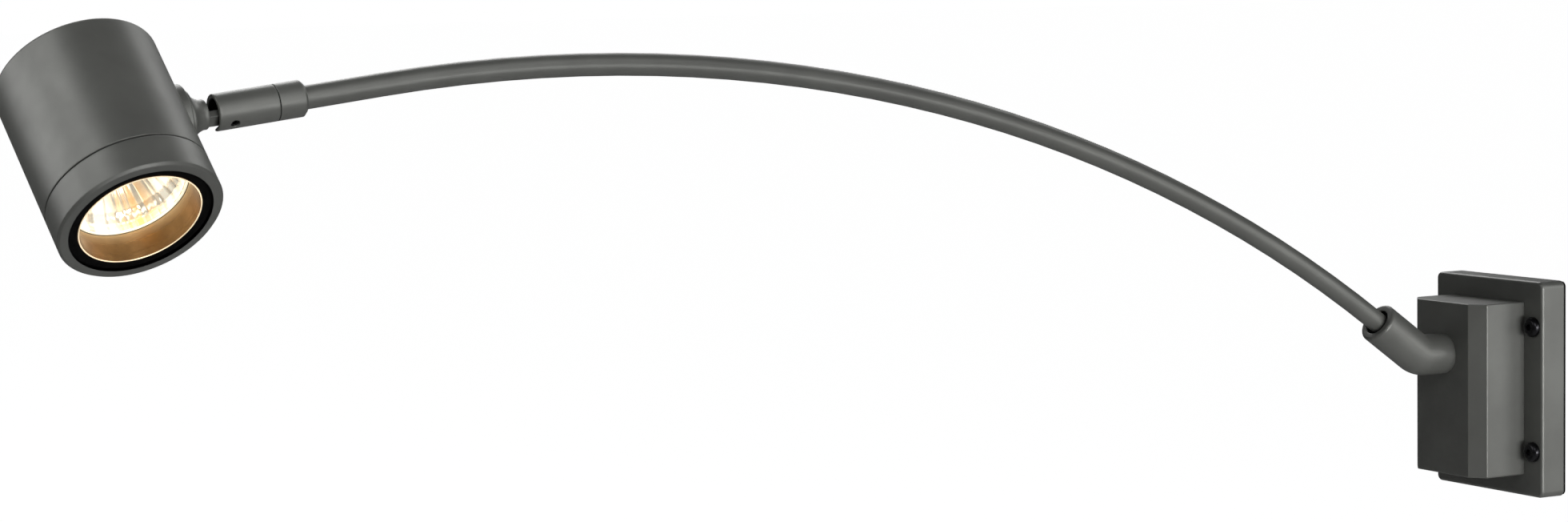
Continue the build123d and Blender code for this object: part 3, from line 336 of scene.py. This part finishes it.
def turned_place(tree, place, matrix):
    """Object coordinates carried back into a frame, so that its axis is Z and its centre nought."""
    shift = add(tree, "ShaderNodeVectorMath", operation="SUBTRACT")
    wire(tree, place, shift.inputs[0])
    shift.inputs[1].default_value = matrix.to_translation()
    turn = add(tree, "ShaderNodeMapping", vector_type="POINT")
    turn.inputs["Rotation"].default_value = matrix.to_3x3().transposed().to_euler()
    wire(tree, shift.outputs[0], turn.inputs["Vector"])
    return turn.outputs[0]


def lathe_place(tree, place, matrix):
    """Where a point is on a turned piece: its distance from the axis, its level and its bearing."""
    local = turned_place(tree, place, matrix)
    flat = add(tree, "ShaderNodeVectorMath", operation="MULTIPLY")
    flat.inputs[1].default_value = (1, 1, 0)
    distance = add(tree, "ShaderNodeVectorMath", operation="LENGTH")
    bearing = add(tree, "ShaderNodeVectorMath", operation="NORMALIZE")
    parts = add(tree, "ShaderNodeSeparateXYZ")
    wire(tree, local, flat.inputs[0])
    wire(tree, flat.outputs[0], distance.inputs[0])
    wire(tree, flat.outputs[0], bearing.inputs[0])
    wire(tree, local, parts.inputs[0])
    return distance.outputs["Value"], parts.outputs["Z"], bearing.outputs["Vector"]


def lay_over(tree, share, under, colour):
    """Paints a plain colour over what a colour socket already gives, by a 0..1 share."""
    node = add(tree, "ShaderNodeMix", data_type="RGBA")
    wire(tree, share, node.inputs[0])
    wire(tree, under, node.inputs[6])
    node.inputs[7].default_value = (*colour, 1)
    return node.outputs[2]


print("finish helpers ready")

# %% [markdown]
# The cast and tubular parts share one fine-textured powder coat in anthracite. Up close such paint
# is a skin of tiny flattened beads, so the height has a coarse and a fine noise. The roughness and
# the colour drift a little, in patches of their own. Paint also flows round an edge, and the edges
# are painted lighter there: partly worn paint, partly a painted highlight. A bevel node gives both:
# its normal rounds the edge in the shading, and where it turns away from the plain normal the point
# lies on an edge.


# %% Powder coat
COAT_DARK = (0.109, 0.111, 0.103)
COAT_LIGHT = (0.133, 0.136, 0.126)
# Edges are painted lighter: partly worn paint, partly a painted highlight.
EDGE_WEAR_AND_HIGHLIGHT_COLOUR = (0.26, 0.26, 0.25)
EDGE_WEAR_AND_HIGHLIGHT_SHARE = 0.25         # how far an edge goes towards that colour, for worn paint and a painted highlight
RUBBED_SMOOTHING = 0.08     # how much roughness it loses
EDGE_ROUNDING = 0.7 * MM
ON_EDGE, OFF_EDGE = 0.80, 0.985    # how far the rounded and the plain normal agree there
EDGE_WEAR_AND_HIGHLIGHT_PATCH = 2.5                   # millimetres


def edges_worn_and_highlit(tree, place, radius, patch):
    """A normal that rounds the edges, and how far a point lies on one: 0 on a face, up to 1."""
    rounded = add(tree, "ShaderNodeBevel", samples=4, Radius=radius)
    plain = add(tree, "ShaderNodeNewGeometry")
    agree = add(tree, "ShaderNodeVectorMath", operation="DOT_PRODUCT")
    wire(tree, rounded.outputs[0], agree.inputs[0])
    wire(tree, plain.outputs["Normal"], agree.inputs[1])
    edge = spread(tree, agree.outputs["Value"], 1, 0, ON_EDGE, OFF_EDGE)
    uneven = spread(tree, noise(tree, place, patch, 3), 0.3, 1)
    return rounded.outputs[0], arithmetic(tree, "MULTIPLY", edge, uneven)


def powder_coat(name):
    """The coat's material, tree, shader and coordinates, its colour socket and its normal."""
    made, tree, shader, place = finish(name, Metallic=0.35, Roughness=0.4)
    drift = noise(tree, place, 26.0, 4)
    beads = noise(tree, place, 0.42, 2)
    grit = noise(tree, place, 0.16, 2)
    patches = noise(tree, place, 8.0, 3)
    paint = blend_colours(tree, spread(tree, drift, 0, 1), COAT_DARK, COAT_LIGHT)
    # The edge mask lightens the colour as worn paint and a painted highlight.
    rounded, edge_wear_and_highlight = edges_worn_and_highlit(tree, place, EDGE_ROUNDING, EDGE_WEAR_AND_HIGHLIGHT_PATCH)
    lighter = arithmetic(tree, "MULTIPLY", edge_wear_and_highlight, EDGE_WEAR_AND_HIGHLIGHT_SHARE)
    colour = lay_over(tree, lighter, paint, EDGE_WEAR_AND_HIGHLIGHT_COLOUR)
    wire(tree, colour, shader.inputs["Base Color"])
    smoother = arithmetic(tree, "MULTIPLY", edge_wear_and_highlight, RUBBED_SMOOTHING)
    gloss = arithmetic(tree, "SUBTRACT", spread(tree, patches, 0.38, 0.43), smoother)
    wire(tree, gloss, shader.inputs["Roughness"])
    coarse = relief(tree, shader, beads, 0.030, rounded)
    fine = relief(tree, shader, grit, 0.012, coarse)
    return made, tree, shader, place, colour, fine


coat = powder_coat("anthracite_powder_coat")[0]
print("made", coat.name)

# %% [markdown]
# Three coated pieces are more than one finish. The bore of the front ring is painted matt black as
# painted shade inside that recess, and so is the cup in the end of the knuckle's barrel. The
# spigot of the head, which is only seen once the ring is unscrewed, is bare turned aluminium with
# a thread. All these borders are circles about an axis, so the material measures its distance and
# level from that axis and lays the second finish over the coat. The thread is relief only: the two
# threads meet with no room for a modelled one.

# %% Painted-shade black bore and cup, thread of the spigot
# The black of the ring's bore and the barrel's cup is painted shade.
BORE_PAINTED_SHADE = (0.003, 0.003, 0.003)
BARE_ALUMINIUM = (0.42, 0.42, 0.41)
THREAD_PITCH = 1.5 * MM
THREAD_RELIEF = 1.6    # millimetres of height for a whole turn; a flank spans half of it


def coat_with_painted_shade_bore(name, axis_frame, border):
    """The coat, painted black as shade within that distance of the frame's axis."""
    made, tree, shader, place, colour, _ = powder_coat(name)
    distance = lathe_place(tree, place, axis_frame)[0]
    inside = spread(tree, distance, 1, 0, border - 0.1 * MM, border + 0.1 * MM)
    wire(tree, lay_over(tree, inside, colour, BORE_PAINTED_SHADE), shader.inputs["Base Color"])
    wire(tree, spread(tree, inside, 0.35, 1.0, 0, 1), shader.inputs["Metallic"])
    return made


def coat_with_thread(name, spigot_start, inner_border, spigot_radius):
    """The coat, bare and threaded where the spigot has started and outside the inner border."""
    made, tree, shader, place, colour, fine = powder_coat(name)
    distance, level, bearing = lathe_place(tree, place, lamp_frame)
    parts = add(tree, "ShaderNodeSeparateXYZ")
    wire(tree, bearing, parts.inputs[0])
    angle = arithmetic(tree, "ARCTAN2", parts.outputs["Y"], parts.outputs["X"])
    turn = arithmetic(tree, "DIVIDE", angle, math.tau)
    climb = arithmetic(tree, "ADD", arithmetic(tree, "DIVIDE", level, THREAD_PITCH), turn)
    flank = arithmetic(tree, "PINGPONG", climb, 0.5)
    beyond = spread(tree, level, 0, 1, spigot_start - 0.05 * MM, spigot_start + 0.05 * MM)
    within = spread(tree, distance, 1, 0, spigot_radius + 0.05 * MM, spigot_radius + 0.15 * MM)
    outside = spread(tree, distance, 0, 1, inner_border, inner_border + 0.1 * MM)
    band = arithmetic(tree, "MULTIPLY", arithmetic(tree, "MULTIPLY", beyond, within), outside)
    wire(tree, lay_over(tree, band, colour, BARE_ALUMINIUM), shader.inputs["Base Color"])
    relief(tree, shader, arithmetic(tree, "MULTIPLY", flank, band), THREAD_RELIEF, fine)
    return made


# Painted shade in the ring's bore and in the barrel's cup.
ring_coat = coat_with_painted_shade_bore("ring_coat_painted_shade_bore", lamp_frame, 30.0 * MM)
barrel_coat = coat_with_painted_shade_bore("barrel_coat_painted_shade_cup", knuckle_frame, 6.2 * MM)
shell_coat = coat_with_thread(
    "shell_coat_bare_thread",
    spigot_start=33.2 * MM, inner_border=30.0 * MM, spigot_radius=31.65 * MM,
)
print("made", ring_coat.name, barrel_coat.name, shell_coat.name)

# %% [markdown]
# Small hardware is bright zinc, brass, black zinc or nickel. Turned and rolled metal carries fine
# directional marks: noise that is squeezed along one axis gives them, and the same noise moves the
# roughness, so that the highlights break up into streaks.


# %% Metal finishes
def worked_metal(name, dark, light, smoothest, roughest, streak=(1, 1, 12)):
    """Bare or plated metal between two colours, with marks squeezed along one axis."""
    made, tree, shader, place = finish(name, Metallic=1.0, Roughness=0.4)
    squeeze = add(tree, "ShaderNodeMapping", vector_type="POINT")
    squeeze.inputs["Scale"].default_value = streak
    wire(tree, place, squeeze.inputs["Vector"])
    marks = noise(tree, squeeze.outputs[0], 1.6, 4)
    clouds = noise(tree, place, 4.0, 3)
    colour = blend_colours(tree, spread(tree, clouds, 0, 1), dark, light)
    wire(tree, colour, shader.inputs["Base Color"])
    wire(tree, spread(tree, marks, smoothest, roughest), shader.inputs["Roughness"])
    relief(tree, shader, marks, 0.006)
    return made


zinc = worked_metal("zinc_plated_steel", (0.50, 0.51, 0.53), (0.62, 0.63, 0.64), 0.25, 0.42)
black_zinc = worked_metal(
    "black_plated_steel", (0.020, 0.020, 0.022), (0.040, 0.040, 0.043), 0.22, 0.36,
)
brass = worked_metal("bare_brass", (0.66, 0.48, 0.22), (0.76, 0.58, 0.30), 0.24, 0.38)
nickel = worked_metal("nickel_plated_pins", (0.56, 0.55, 0.52), (0.68, 0.67, 0.64), 0.18, 0.32)
print("made", zinc.name, black_zinc.name, brass.name, nickel.name)

# %% [markdown]
# Rubber, nylon, the terminal moulding and the glazed ceramic are plain bodies with a skin of their
# own. Rubber is nearly black and matt, nylon lets a little light in, the terminal block has the
# dull sheen of a moulding, and the glaze is glossy over a faintly mottled white.


# %% Rubber, plastics and ceramic
def moulded(name, dark, light, smoothest, roughest, grain, depth, inner_light=0.0, gloss=0.5):
    """A body between two colours. Its skin has a grain and a depth in millimetres."""
    made, tree, shader, place = finish(name, Roughness=0.5, Specular_IOR_Level=gloss)
    mottle = noise(tree, place, 3.0, 4)
    skin = noise(tree, place, grain, 3)
    colour = blend_colours(tree, spread(tree, mottle, 0, 1), dark, light)
    wire(tree, colour, shader.inputs["Base Color"])
    wire(tree, spread(tree, skin, smoothest, roughest), shader.inputs["Roughness"])
    shader.inputs["Subsurface Weight"].default_value = inner_light
    shader.inputs["Subsurface Scale"].default_value = 0.8 * MM
    relief(tree, shader, skin, depth)
    return made


rubber = moulded(
    "matt_black_rubber", (0.002, 0.002, 0.002), (0.005, 0.005, 0.005), 0.85, 0.95,
    grain=0.3, depth=0.02, gloss=0.04,
)
nylon = moulded(
    "natural_nylon", (0.66, 0.65, 0.60), (0.74, 0.73, 0.68), 0.38, 0.5,
    grain=0.4, depth=0.01, inner_light=0.3,
)
terminal_body = moulded(
    "off_white_moulding", (0.72, 0.71, 0.66), (0.78, 0.77, 0.73), 0.35, 0.48,
    grain=0.5, depth=0.01, inner_light=0.15,
)
glaze = moulded(
    "glazed_ceramic", (0.72, 0.70, 0.65), (0.82, 0.81, 0.77), 0.16, 0.28, grain=1.2, depth=0.02,
)
print("made", rubber.name, nylon.name, terminal_body.name, glaze.name)

# %% [markdown]
# Deep in the head a bronze-coloured tube shades the lamp from the side. It is turned metal with a
# satin anodised skin: rings run round it, so its height follows the distance along the lamp axis
# rather than a free noise. A glow that fades away from the lamp stands for the light on it.


# %% Bronze baffle
TURNING_RINGS = 2600.0                           # noise features to the metre along the axis
TUBE_GLOW = 0.55
TUBE_GLOW_START, TUBE_GLOW_END = 32.5 * MM, 40.0 * MM


def bronze_finish():
    """Satin bronze with turning rings about the lamp axis, lit from the lamp's end."""
    made, tree, shader, place = finish("satin_bronze", Metallic=0.85, Roughness=0.36)
    local = turned_place(tree, place, lamp_frame)
    parts = add(tree, "ShaderNodeSeparateXYZ")
    wire(tree, local, parts.inputs[0])
    rings = add(tree, "ShaderNodeTexNoise", noise_dimensions="1D", Scale=TURNING_RINGS, Detail=3.0)
    wire(tree, parts.outputs["Z"], rings.inputs["W"])
    clouds = noise(tree, place, 7.0, 3)
    tone = spread(tree, clouds, 0, 1)
    colour = blend_colours(tree, tone, (0.17, 0.095, 0.036), (0.25, 0.145, 0.060))
    wire(tree, colour, shader.inputs["Base Color"])
    wire(tree, spread(tree, rings.outputs["Fac"], 0.26, 0.42), shader.inputs["Roughness"])
    shader.inputs["Emission Color"].default_value = (1.0, 0.70, 0.36, 1)
    near_lamp = spread(tree, parts.outputs["Z"], 1, 0, TUBE_GLOW_START, TUBE_GLOW_END)
    fading = arithmetic(tree, "POWER", near_lamp, 2.0)
    glow = arithmetic(tree, "MULTIPLY", fading, TUBE_GLOW)
    wire(tree, glow, shader.inputs["Emission Strength"])
    relief(tree, shader, rings.outputs["Fac"], 0.012)
    return made


bronze = bronze_finish()
print("made", bronze.name)

# %% [markdown]
# The front glass and the lamp's cover lens are clear. Light that has to bend through layers of
# glass turns noisy and dark, so the glass is thin-walled: mostly transparent, with a gloss that
# grows towards grazing angles as on real glass, and a faint tint and smear in it.


# %% Clear glass
def clear_glass(name, tint, smoothest, roughest, share=1.0):
    """Thin-walled glass that mirrors on its front faces only, by that share."""
    made = bpy.data.materials.new(name)
    tree = clear_tree(made)
    out = add(tree, "ShaderNodeOutputMaterial")
    through = add(tree, "ShaderNodeBsdfTransparent", Color=(*tint, 1))
    shine = add(tree, "ShaderNodeBsdfGlossy", Color=(1, 1, 1, 1))
    mix = add(tree, "ShaderNodeMixShader")
    grazing = add(tree, "ShaderNodeFresnel", IOR=1.5)
    side = add(tree, "ShaderNodeNewGeometry")
    front_only = arithmetic(tree, "SUBTRACT", share, side.outputs["Backfacing"])
    weaker = add(tree, "ShaderNodeMath", operation="MULTIPLY", use_clamp=True)
    place = add(tree, "ShaderNodeTexCoord")
    smear = noise(tree, place.outputs["Object"], 9.0, 4)
    wire(tree, spread(tree, smear, smoothest, roughest), shine.inputs["Roughness"])
    wire(tree, grazing.outputs[0], weaker.inputs[0])
    wire(tree, front_only, weaker.inputs[1])
    wire(tree, weaker.outputs[0], mix.inputs[0])
    wire(tree, through.outputs[0], mix.inputs[1])
    wire(tree, shine.outputs[0], mix.inputs[2])
    wire(tree, mix.outputs[0], out.inputs[0])
    return made


window_glass = clear_glass("clear_front_glass", (0.985, 0.99, 0.985), 0.02, 0.07, 0.55)
lens_glass = clear_glass("lamp_lens_glass", (0.99, 0.985, 0.97), 0.03, 0.09)
print("made", window_glass.name, lens_glass.name)

# %% [markdown]
# The lamp is lit. Its reflector is pressed glass with a metal film, and its flutes show as upright
# streaks: cream where a flute throws the coil's light this way, grey where it doesn't, amber near
# the burner. The film mirrors the lit coil, and a glow of its own, drawn by noise that only reads
# the bearing round the lamp axis, stands for light that goes round between the flutes. The
# burner's quartz is half see-through with an amber haze, and two glass edges carry a painted glint,
# a glow of their own.


# %% Lamp finishes
BRIGHT_BEARING = -140    # degrees about the lamp axis: where the film is brightest
BURNER_BEARING = -68     # and where it is amber


def glowing(name, colour, low, high, size=1.5):
    """A body that gives light, a little uneven from place to place."""
    made, tree, shader, place = finish(name, Roughness=0.4)
    shader.inputs["Base Color"].default_value = (*colour, 1)
    shader.inputs["Emission Color"].default_value = (*colour, 1)
    strength = spread(tree, noise(tree, place, size, 2), low, high)
    wire(tree, strength, shader.inputs["Emission Strength"])
    return made


def streaks(tree, bearing, around, seed, detail=2.0):
    """Noise that changes only with the bearing, about that many features all the way round."""
    shift = add(tree, "ShaderNodeVectorMath", operation="MULTIPLY_ADD")
    shift.inputs[1].default_value = (around / math.tau,) * 3
    shift.inputs[2].default_value = (seed, seed, seed)
    wire(tree, bearing, shift.inputs[0])
    node = add(tree, "ShaderNodeTexNoise", Scale=1.0, Detail=detail, Roughness=0.6)
    wire(tree, shift.outputs[0], node.inputs["Vector"])
    return node.outputs["Fac"]


def towards(tree, bearing, angle, start, stop):
    """One where the bearing points to that angle in degrees, and nought away from it."""
    along = add(tree, "ShaderNodeVectorMath", operation="DOT_PRODUCT")
    turn = math.radians(angle)
    along.inputs[1].default_value = (math.cos(turn), math.sin(turn), 0)
    wire(tree, bearing, along.inputs[0])
    return spread(tree, along.outputs["Value"], 0, 1, start, stop)


def lit_film(name, weakest, strongest):
    """Mirror film with streaks of light that follow the bearing round the lamp axis."""
    made, tree, shader, place = finish(name, Metallic=1.0, Roughness=0.16)
    bearing = lathe_place(tree, place, lamp_frame)[2]
    lit_flutes = spread(tree, streaks(tree, bearing, 44, 3.1, 1.0), 0, 1, 0.40, 0.54)
    beside_burner = towards(tree, bearing, BURNER_BEARING, 0.86, 0.985)
    cream = blend_colours(tree, beside_burner, (1.0, 0.93, 0.80), (0.92, 0.52, 0.20))
    shade = add(tree, "ShaderNodeMix", data_type="RGBA")
    wire(tree, lit_flutes, shade.inputs[0])
    shade.inputs[6].default_value = (0.40, 0.36, 0.30, 1)
    wire(tree, cream, shade.inputs[7])
    wire(tree, shade.outputs[2], shader.inputs["Emission Color"])
    bright_side = towards(tree, bearing, BRIGHT_BEARING, -0.2, 0.9)
    strength = spread(tree, bright_side, weakest, strongest, 0, 1)
    wire(tree, strength, shader.inputs["Emission Strength"])
    mottle = spread(tree, noise(tree, place, 5.0, 3), 0, 1)
    colour = blend_colours(tree, mottle, (0.80, 0.74, 0.62), (0.90, 0.85, 0.74))
    wire(tree, colour, shader.inputs["Base Color"])
    wire(tree, spread(tree, mottle, 0.12, 0.22, 0, 1), shader.inputs["Roughness"])
    relief(tree, shader, lit_flutes, 0.15)
    return made


def lit_quartz(name):
    """Quartz with the amber haze of the hot coil in it, half see-through."""
    made = bpy.data.materials.new(name)
    tree = clear_tree(made)
    out = add(tree, "ShaderNodeOutputMaterial")
    through = add(tree, "ShaderNodeBsdfTransparent", Color=(1.0, 0.86, 0.62, 1))
    haze = add(tree, "ShaderNodeEmission", Color=(1.0, 0.56, 0.20, 1), Strength=1.3)
    mix = add(tree, "ShaderNodeMixShader")
    place = add(tree, "ShaderNodeTexCoord")
    cloudy = spread(tree, noise(tree, place.outputs["Object"], 3.0, 2), 0.6, 0.85)
    wire(tree, cloudy, mix.inputs[0])
    wire(tree, through.outputs[0], mix.inputs[1])
    wire(tree, haze.outputs[0], mix.inputs[2])
    wire(tree, mix.outputs[0], out.inputs[0])
    return made


mirror_film = lit_film("lit_reflector_film", 0.7, 1.25)
filament_glow = glowing("hot_filament", (1.0, 0.82, 0.52), 26.0, 30.0)
burner_glow = lit_quartz("lit_quartz")
# The two glass edges glow as a painted glint.
rim_painted_glint = glowing("painted_glint_glass_rim", (1.0, 0.90, 0.70), 0.6, 1.0, 4.0)
lip_painted_glint = glowing("painted_glint_glass_lip", (1.0, 0.80, 0.54), 0.20, 0.80, 14.0)
print("made", mirror_film.name, filament_glow.name, burner_glow.name, rim_painted_glint.name, lip_painted_glint.name)

# %% [markdown]
# The record names one finish for each CAD node. This table carries it over, so each node gets the
# material that stands for its slot. Four nodes then get the finish that was made for them alone.

# %% Give every CAD node its finish
finishes = {
    "powder_coat": coat,
    "zinc_steel": zinc,
    "black_screw": black_zinc,
    "black_rubber": rubber,
    "friction_plastic": nylon,
    "terminal_plastic": terminal_body,
    "brass_screw": brass,
    "bronze": bronze,
    "lamp_pin_metal": nickel,
    "clear_glass": window_glass,
    "lamp_glass": lens_glass,
    "reflector_coat": mirror_film,
    "ceramic": glaze,
}
for part in frame["record"]["subparts"]:
    mesh = nodes[part["node"]].data
    mesh.materials.clear()
    mesh.materials.append(finishes[part["material_slot"]])
for name, made in (
    ("front_ring", ring_coat), ("head_shell", shell_coat), ("knuckle_barrel", barrel_coat),
    ("lamp_capsule", burner_glow),
):
    nodes[name].data.materials[0] = made

# %% [markdown]
# The part of the lamp that really glows is a coil of fine tungsten wire, a few millimetres long,
# lying across the axis in the quartz capsule. It could be a texture on the capsule, but the
# reflector mirrors it, so it is modelled: a spin of a small circle that climbs as it turns.


# %% Filament coil
def new_piece(name, bm, matrix, material, body):
    """Turns a finished bmesh into a piece at its place, riding on a CAD body."""
    bmesh.ops.recalc_face_normals(bm, faces=bm.faces)
    bm.transform(matrix)
    mesh = bpy.data.meshes.new(name)
    bm.to_mesh(mesh)
    bm.free()
    mesh.materials.append(material)
    piece = bpy.data.objects.new(name, mesh)
    scene.collection.objects.link(piece)
    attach(piece, body)
    print(name, len(mesh.polygons), "faces")
    return piece


def upright_circle(section_radius, sides, radius, level):
    """A small circle that stands upright at that distance from Z, ready to be spun round it."""
    bm = bmesh.new()
    upright = Matrix.Rotation(math.pi / 2, 3, "X")
    bmesh.ops.create_circle(bm, cap_ends=False, radius=section_radius, segments=sides)
    bmesh.ops.rotate(bm, verts=bm.verts, cent=(0, 0, 0), matrix=upright)
    bmesh.ops.translate(bm, verts=bm.verts, vec=(radius, 0, level))
    return bm


def coil(radius, wire_radius, pitch, turns, steps=14, sides=8):
    """A closed coil of round wire along Z, centred on the origin."""
    bm = upright_circle(wire_radius, sides, radius, -pitch * turns / 2)
    bmesh.ops.spin(
        bm, geom=bm.edges[:] + bm.verts[:], cent=(0, 0, 0), axis=(0, 0, 1),
        dvec=(0, 0, pitch / steps), angle=math.tau * turns, steps=int(steps * turns),
        use_merge=False, use_duplicate=False,
    )
    ends = [e for e in bm.edges if e.is_boundary]
    bmesh.ops.holes_fill(bm, edges=ends, sides=sides)
    return bm


FILAMENT_LEVEL = 19.5 * MM
across_axis = Matrix.Rotation(math.pi / 2, 4, "Y")
filament_place = lamp_frame @ Matrix.Translation((0, 0, FILAMENT_LEVEL)) @ across_axis
filament = new_piece(
    "filament", coil(radius=0.7 * MM, wire_radius=0.16 * MM, pitch=0.42 * MM, turns=9),
    filament_place, filament_glow, "head",
)
filament.data.shade_smooth()

# %% [markdown]
# Pressed flutes line the reflector and give its light the upright streaks. The CAD dish carries
# rings of flat facets, so the flutes are a thin liner just inside them: a circle with every second
# vertex drawn in, extruded level by level down the dish, then given a wall by solidify.


# %% Flutes of the reflector
def fluted_dish(radii, levels, flutes, flute_depth, wall):
    """A pleated dish, widest first, open at both ends but with a closed wall."""
    bm = bmesh.new()
    bmesh.ops.create_circle(bm, cap_ends=False, radius=radii[0], segments=2 * flutes)
    bmesh.ops.translate(bm, verts=bm.verts, vec=(0, 0, levels[0]))
    bm.verts.index_update()
    ridges = [v for v in bm.verts if v.index % 2]
    shrink = 1 - flute_depth / radii[0]
    bmesh.ops.scale(bm, verts=ridges, vec=(shrink, shrink, 1))
    rim = bm.edges[:]
    for step in range(1, len(radii)):
        grown = bmesh.ops.extrude_edge_only(bm, edges=rim)["geom"]
        lower = [g for g in grown if isinstance(g, bmesh.types.BMVert)]
        edges = [g for g in grown if isinstance(g, bmesh.types.BMEdge)]
        rim = [e for e in edges if all(v in lower for v in e.verts)]
        ratio = radii[step] / radii[step - 1]
        bmesh.ops.scale(bm, verts=lower, vec=(ratio, ratio, 1))
        bmesh.ops.translate(bm, verts=lower, vec=(0, 0, levels[step] - levels[step - 1]))
    bmesh.ops.recalc_face_normals(bm, faces=bm.faces)
    bmesh.ops.solidify(bm, geom=bm.faces[:], thickness=wall)
    return bm


FACETS_ROUND = 24
LINER_GAP = 0.25                                     # millimetres inside the facets' flats
FACET_FLAT = math.cos(math.pi / FACETS_ROUND)        # a flat's distance over its corners'
CORNER_RADII = (23.4, 21.6, 19.0, 15.6, 11.4, 6.6)   # millimetres, as the CAD dish has them
CORNER_LEVELS = (29.5, 24.6, 19.8, 15.4, 11.6, 8.9)  # its levels, both ends drawn in by 0.1 mm
dish_radii = [(r * FACET_FLAT - LINER_GAP) * MM for r in CORNER_RADII]
dish_levels = [z * MM for z in CORNER_LEVELS]
dish = fluted_dish(dish_radii, dish_levels, flutes=48, flute_depth=0.35 * MM, wall=0.08 * MM)
flutes = new_piece("reflector_flutes", dish, lamp_frame, mirror_film, "head")
flutes.data.shade_smooth()

# %% [markdown]
# Two thin rings ring the lamp with a painted glint, a glow of their own: the rolled rim of its
# glass and the lip of the bronze tube, where it stands for the edge of the front glass catching the
# light.
# A thin dark seal fills the seam between the knuckle's sleeve and its barrel. Each is a small
# circle spun right round its axis, and use_merge closes the spin on itself.


# %% Rim of the lamp, lip of the tube and seal of the seam
def round_ring(radius, section_radius, level, steps=128, sides=12):
    """A ring of round section about Z."""
    bm = upright_circle(section_radius, sides, radius, level)
    bmesh.ops.spin(
        bm, geom=bm.edges[:] + bm.verts[:], cent=(0, 0, 0), axis=(0, 0, 1), dvec=(0, 0, 0),
        angle=math.tau, steps=steps, use_merge=True, use_duplicate=False,
    )
    return bm


# The lamp's rim and the tube's lip carry a painted glint.
lamp_rim = new_piece(
    "lamp_rim", round_ring(radius=24.45 * MM, section_radius=0.48 * MM, level=33.05 * MM),
    lamp_frame, rim_painted_glint, "head",
)
tube_lip = new_piece(
    "tube_lip", round_ring(radius=25.4 * MM, section_radius=0.29 * MM, level=46.9 * MM),
    lamp_frame, lip_painted_glint, "glass",
)
seam_ring = new_piece(
    "seam_ring", round_ring(radius=7.4 * MM, section_radius=0.17 * MM, level=-19.8 * MM),
    knuckle_frame, rubber, "wall",
)
for ring in (lamp_rim, tube_lip, seam_ring):
    ring.data.shade_smooth()
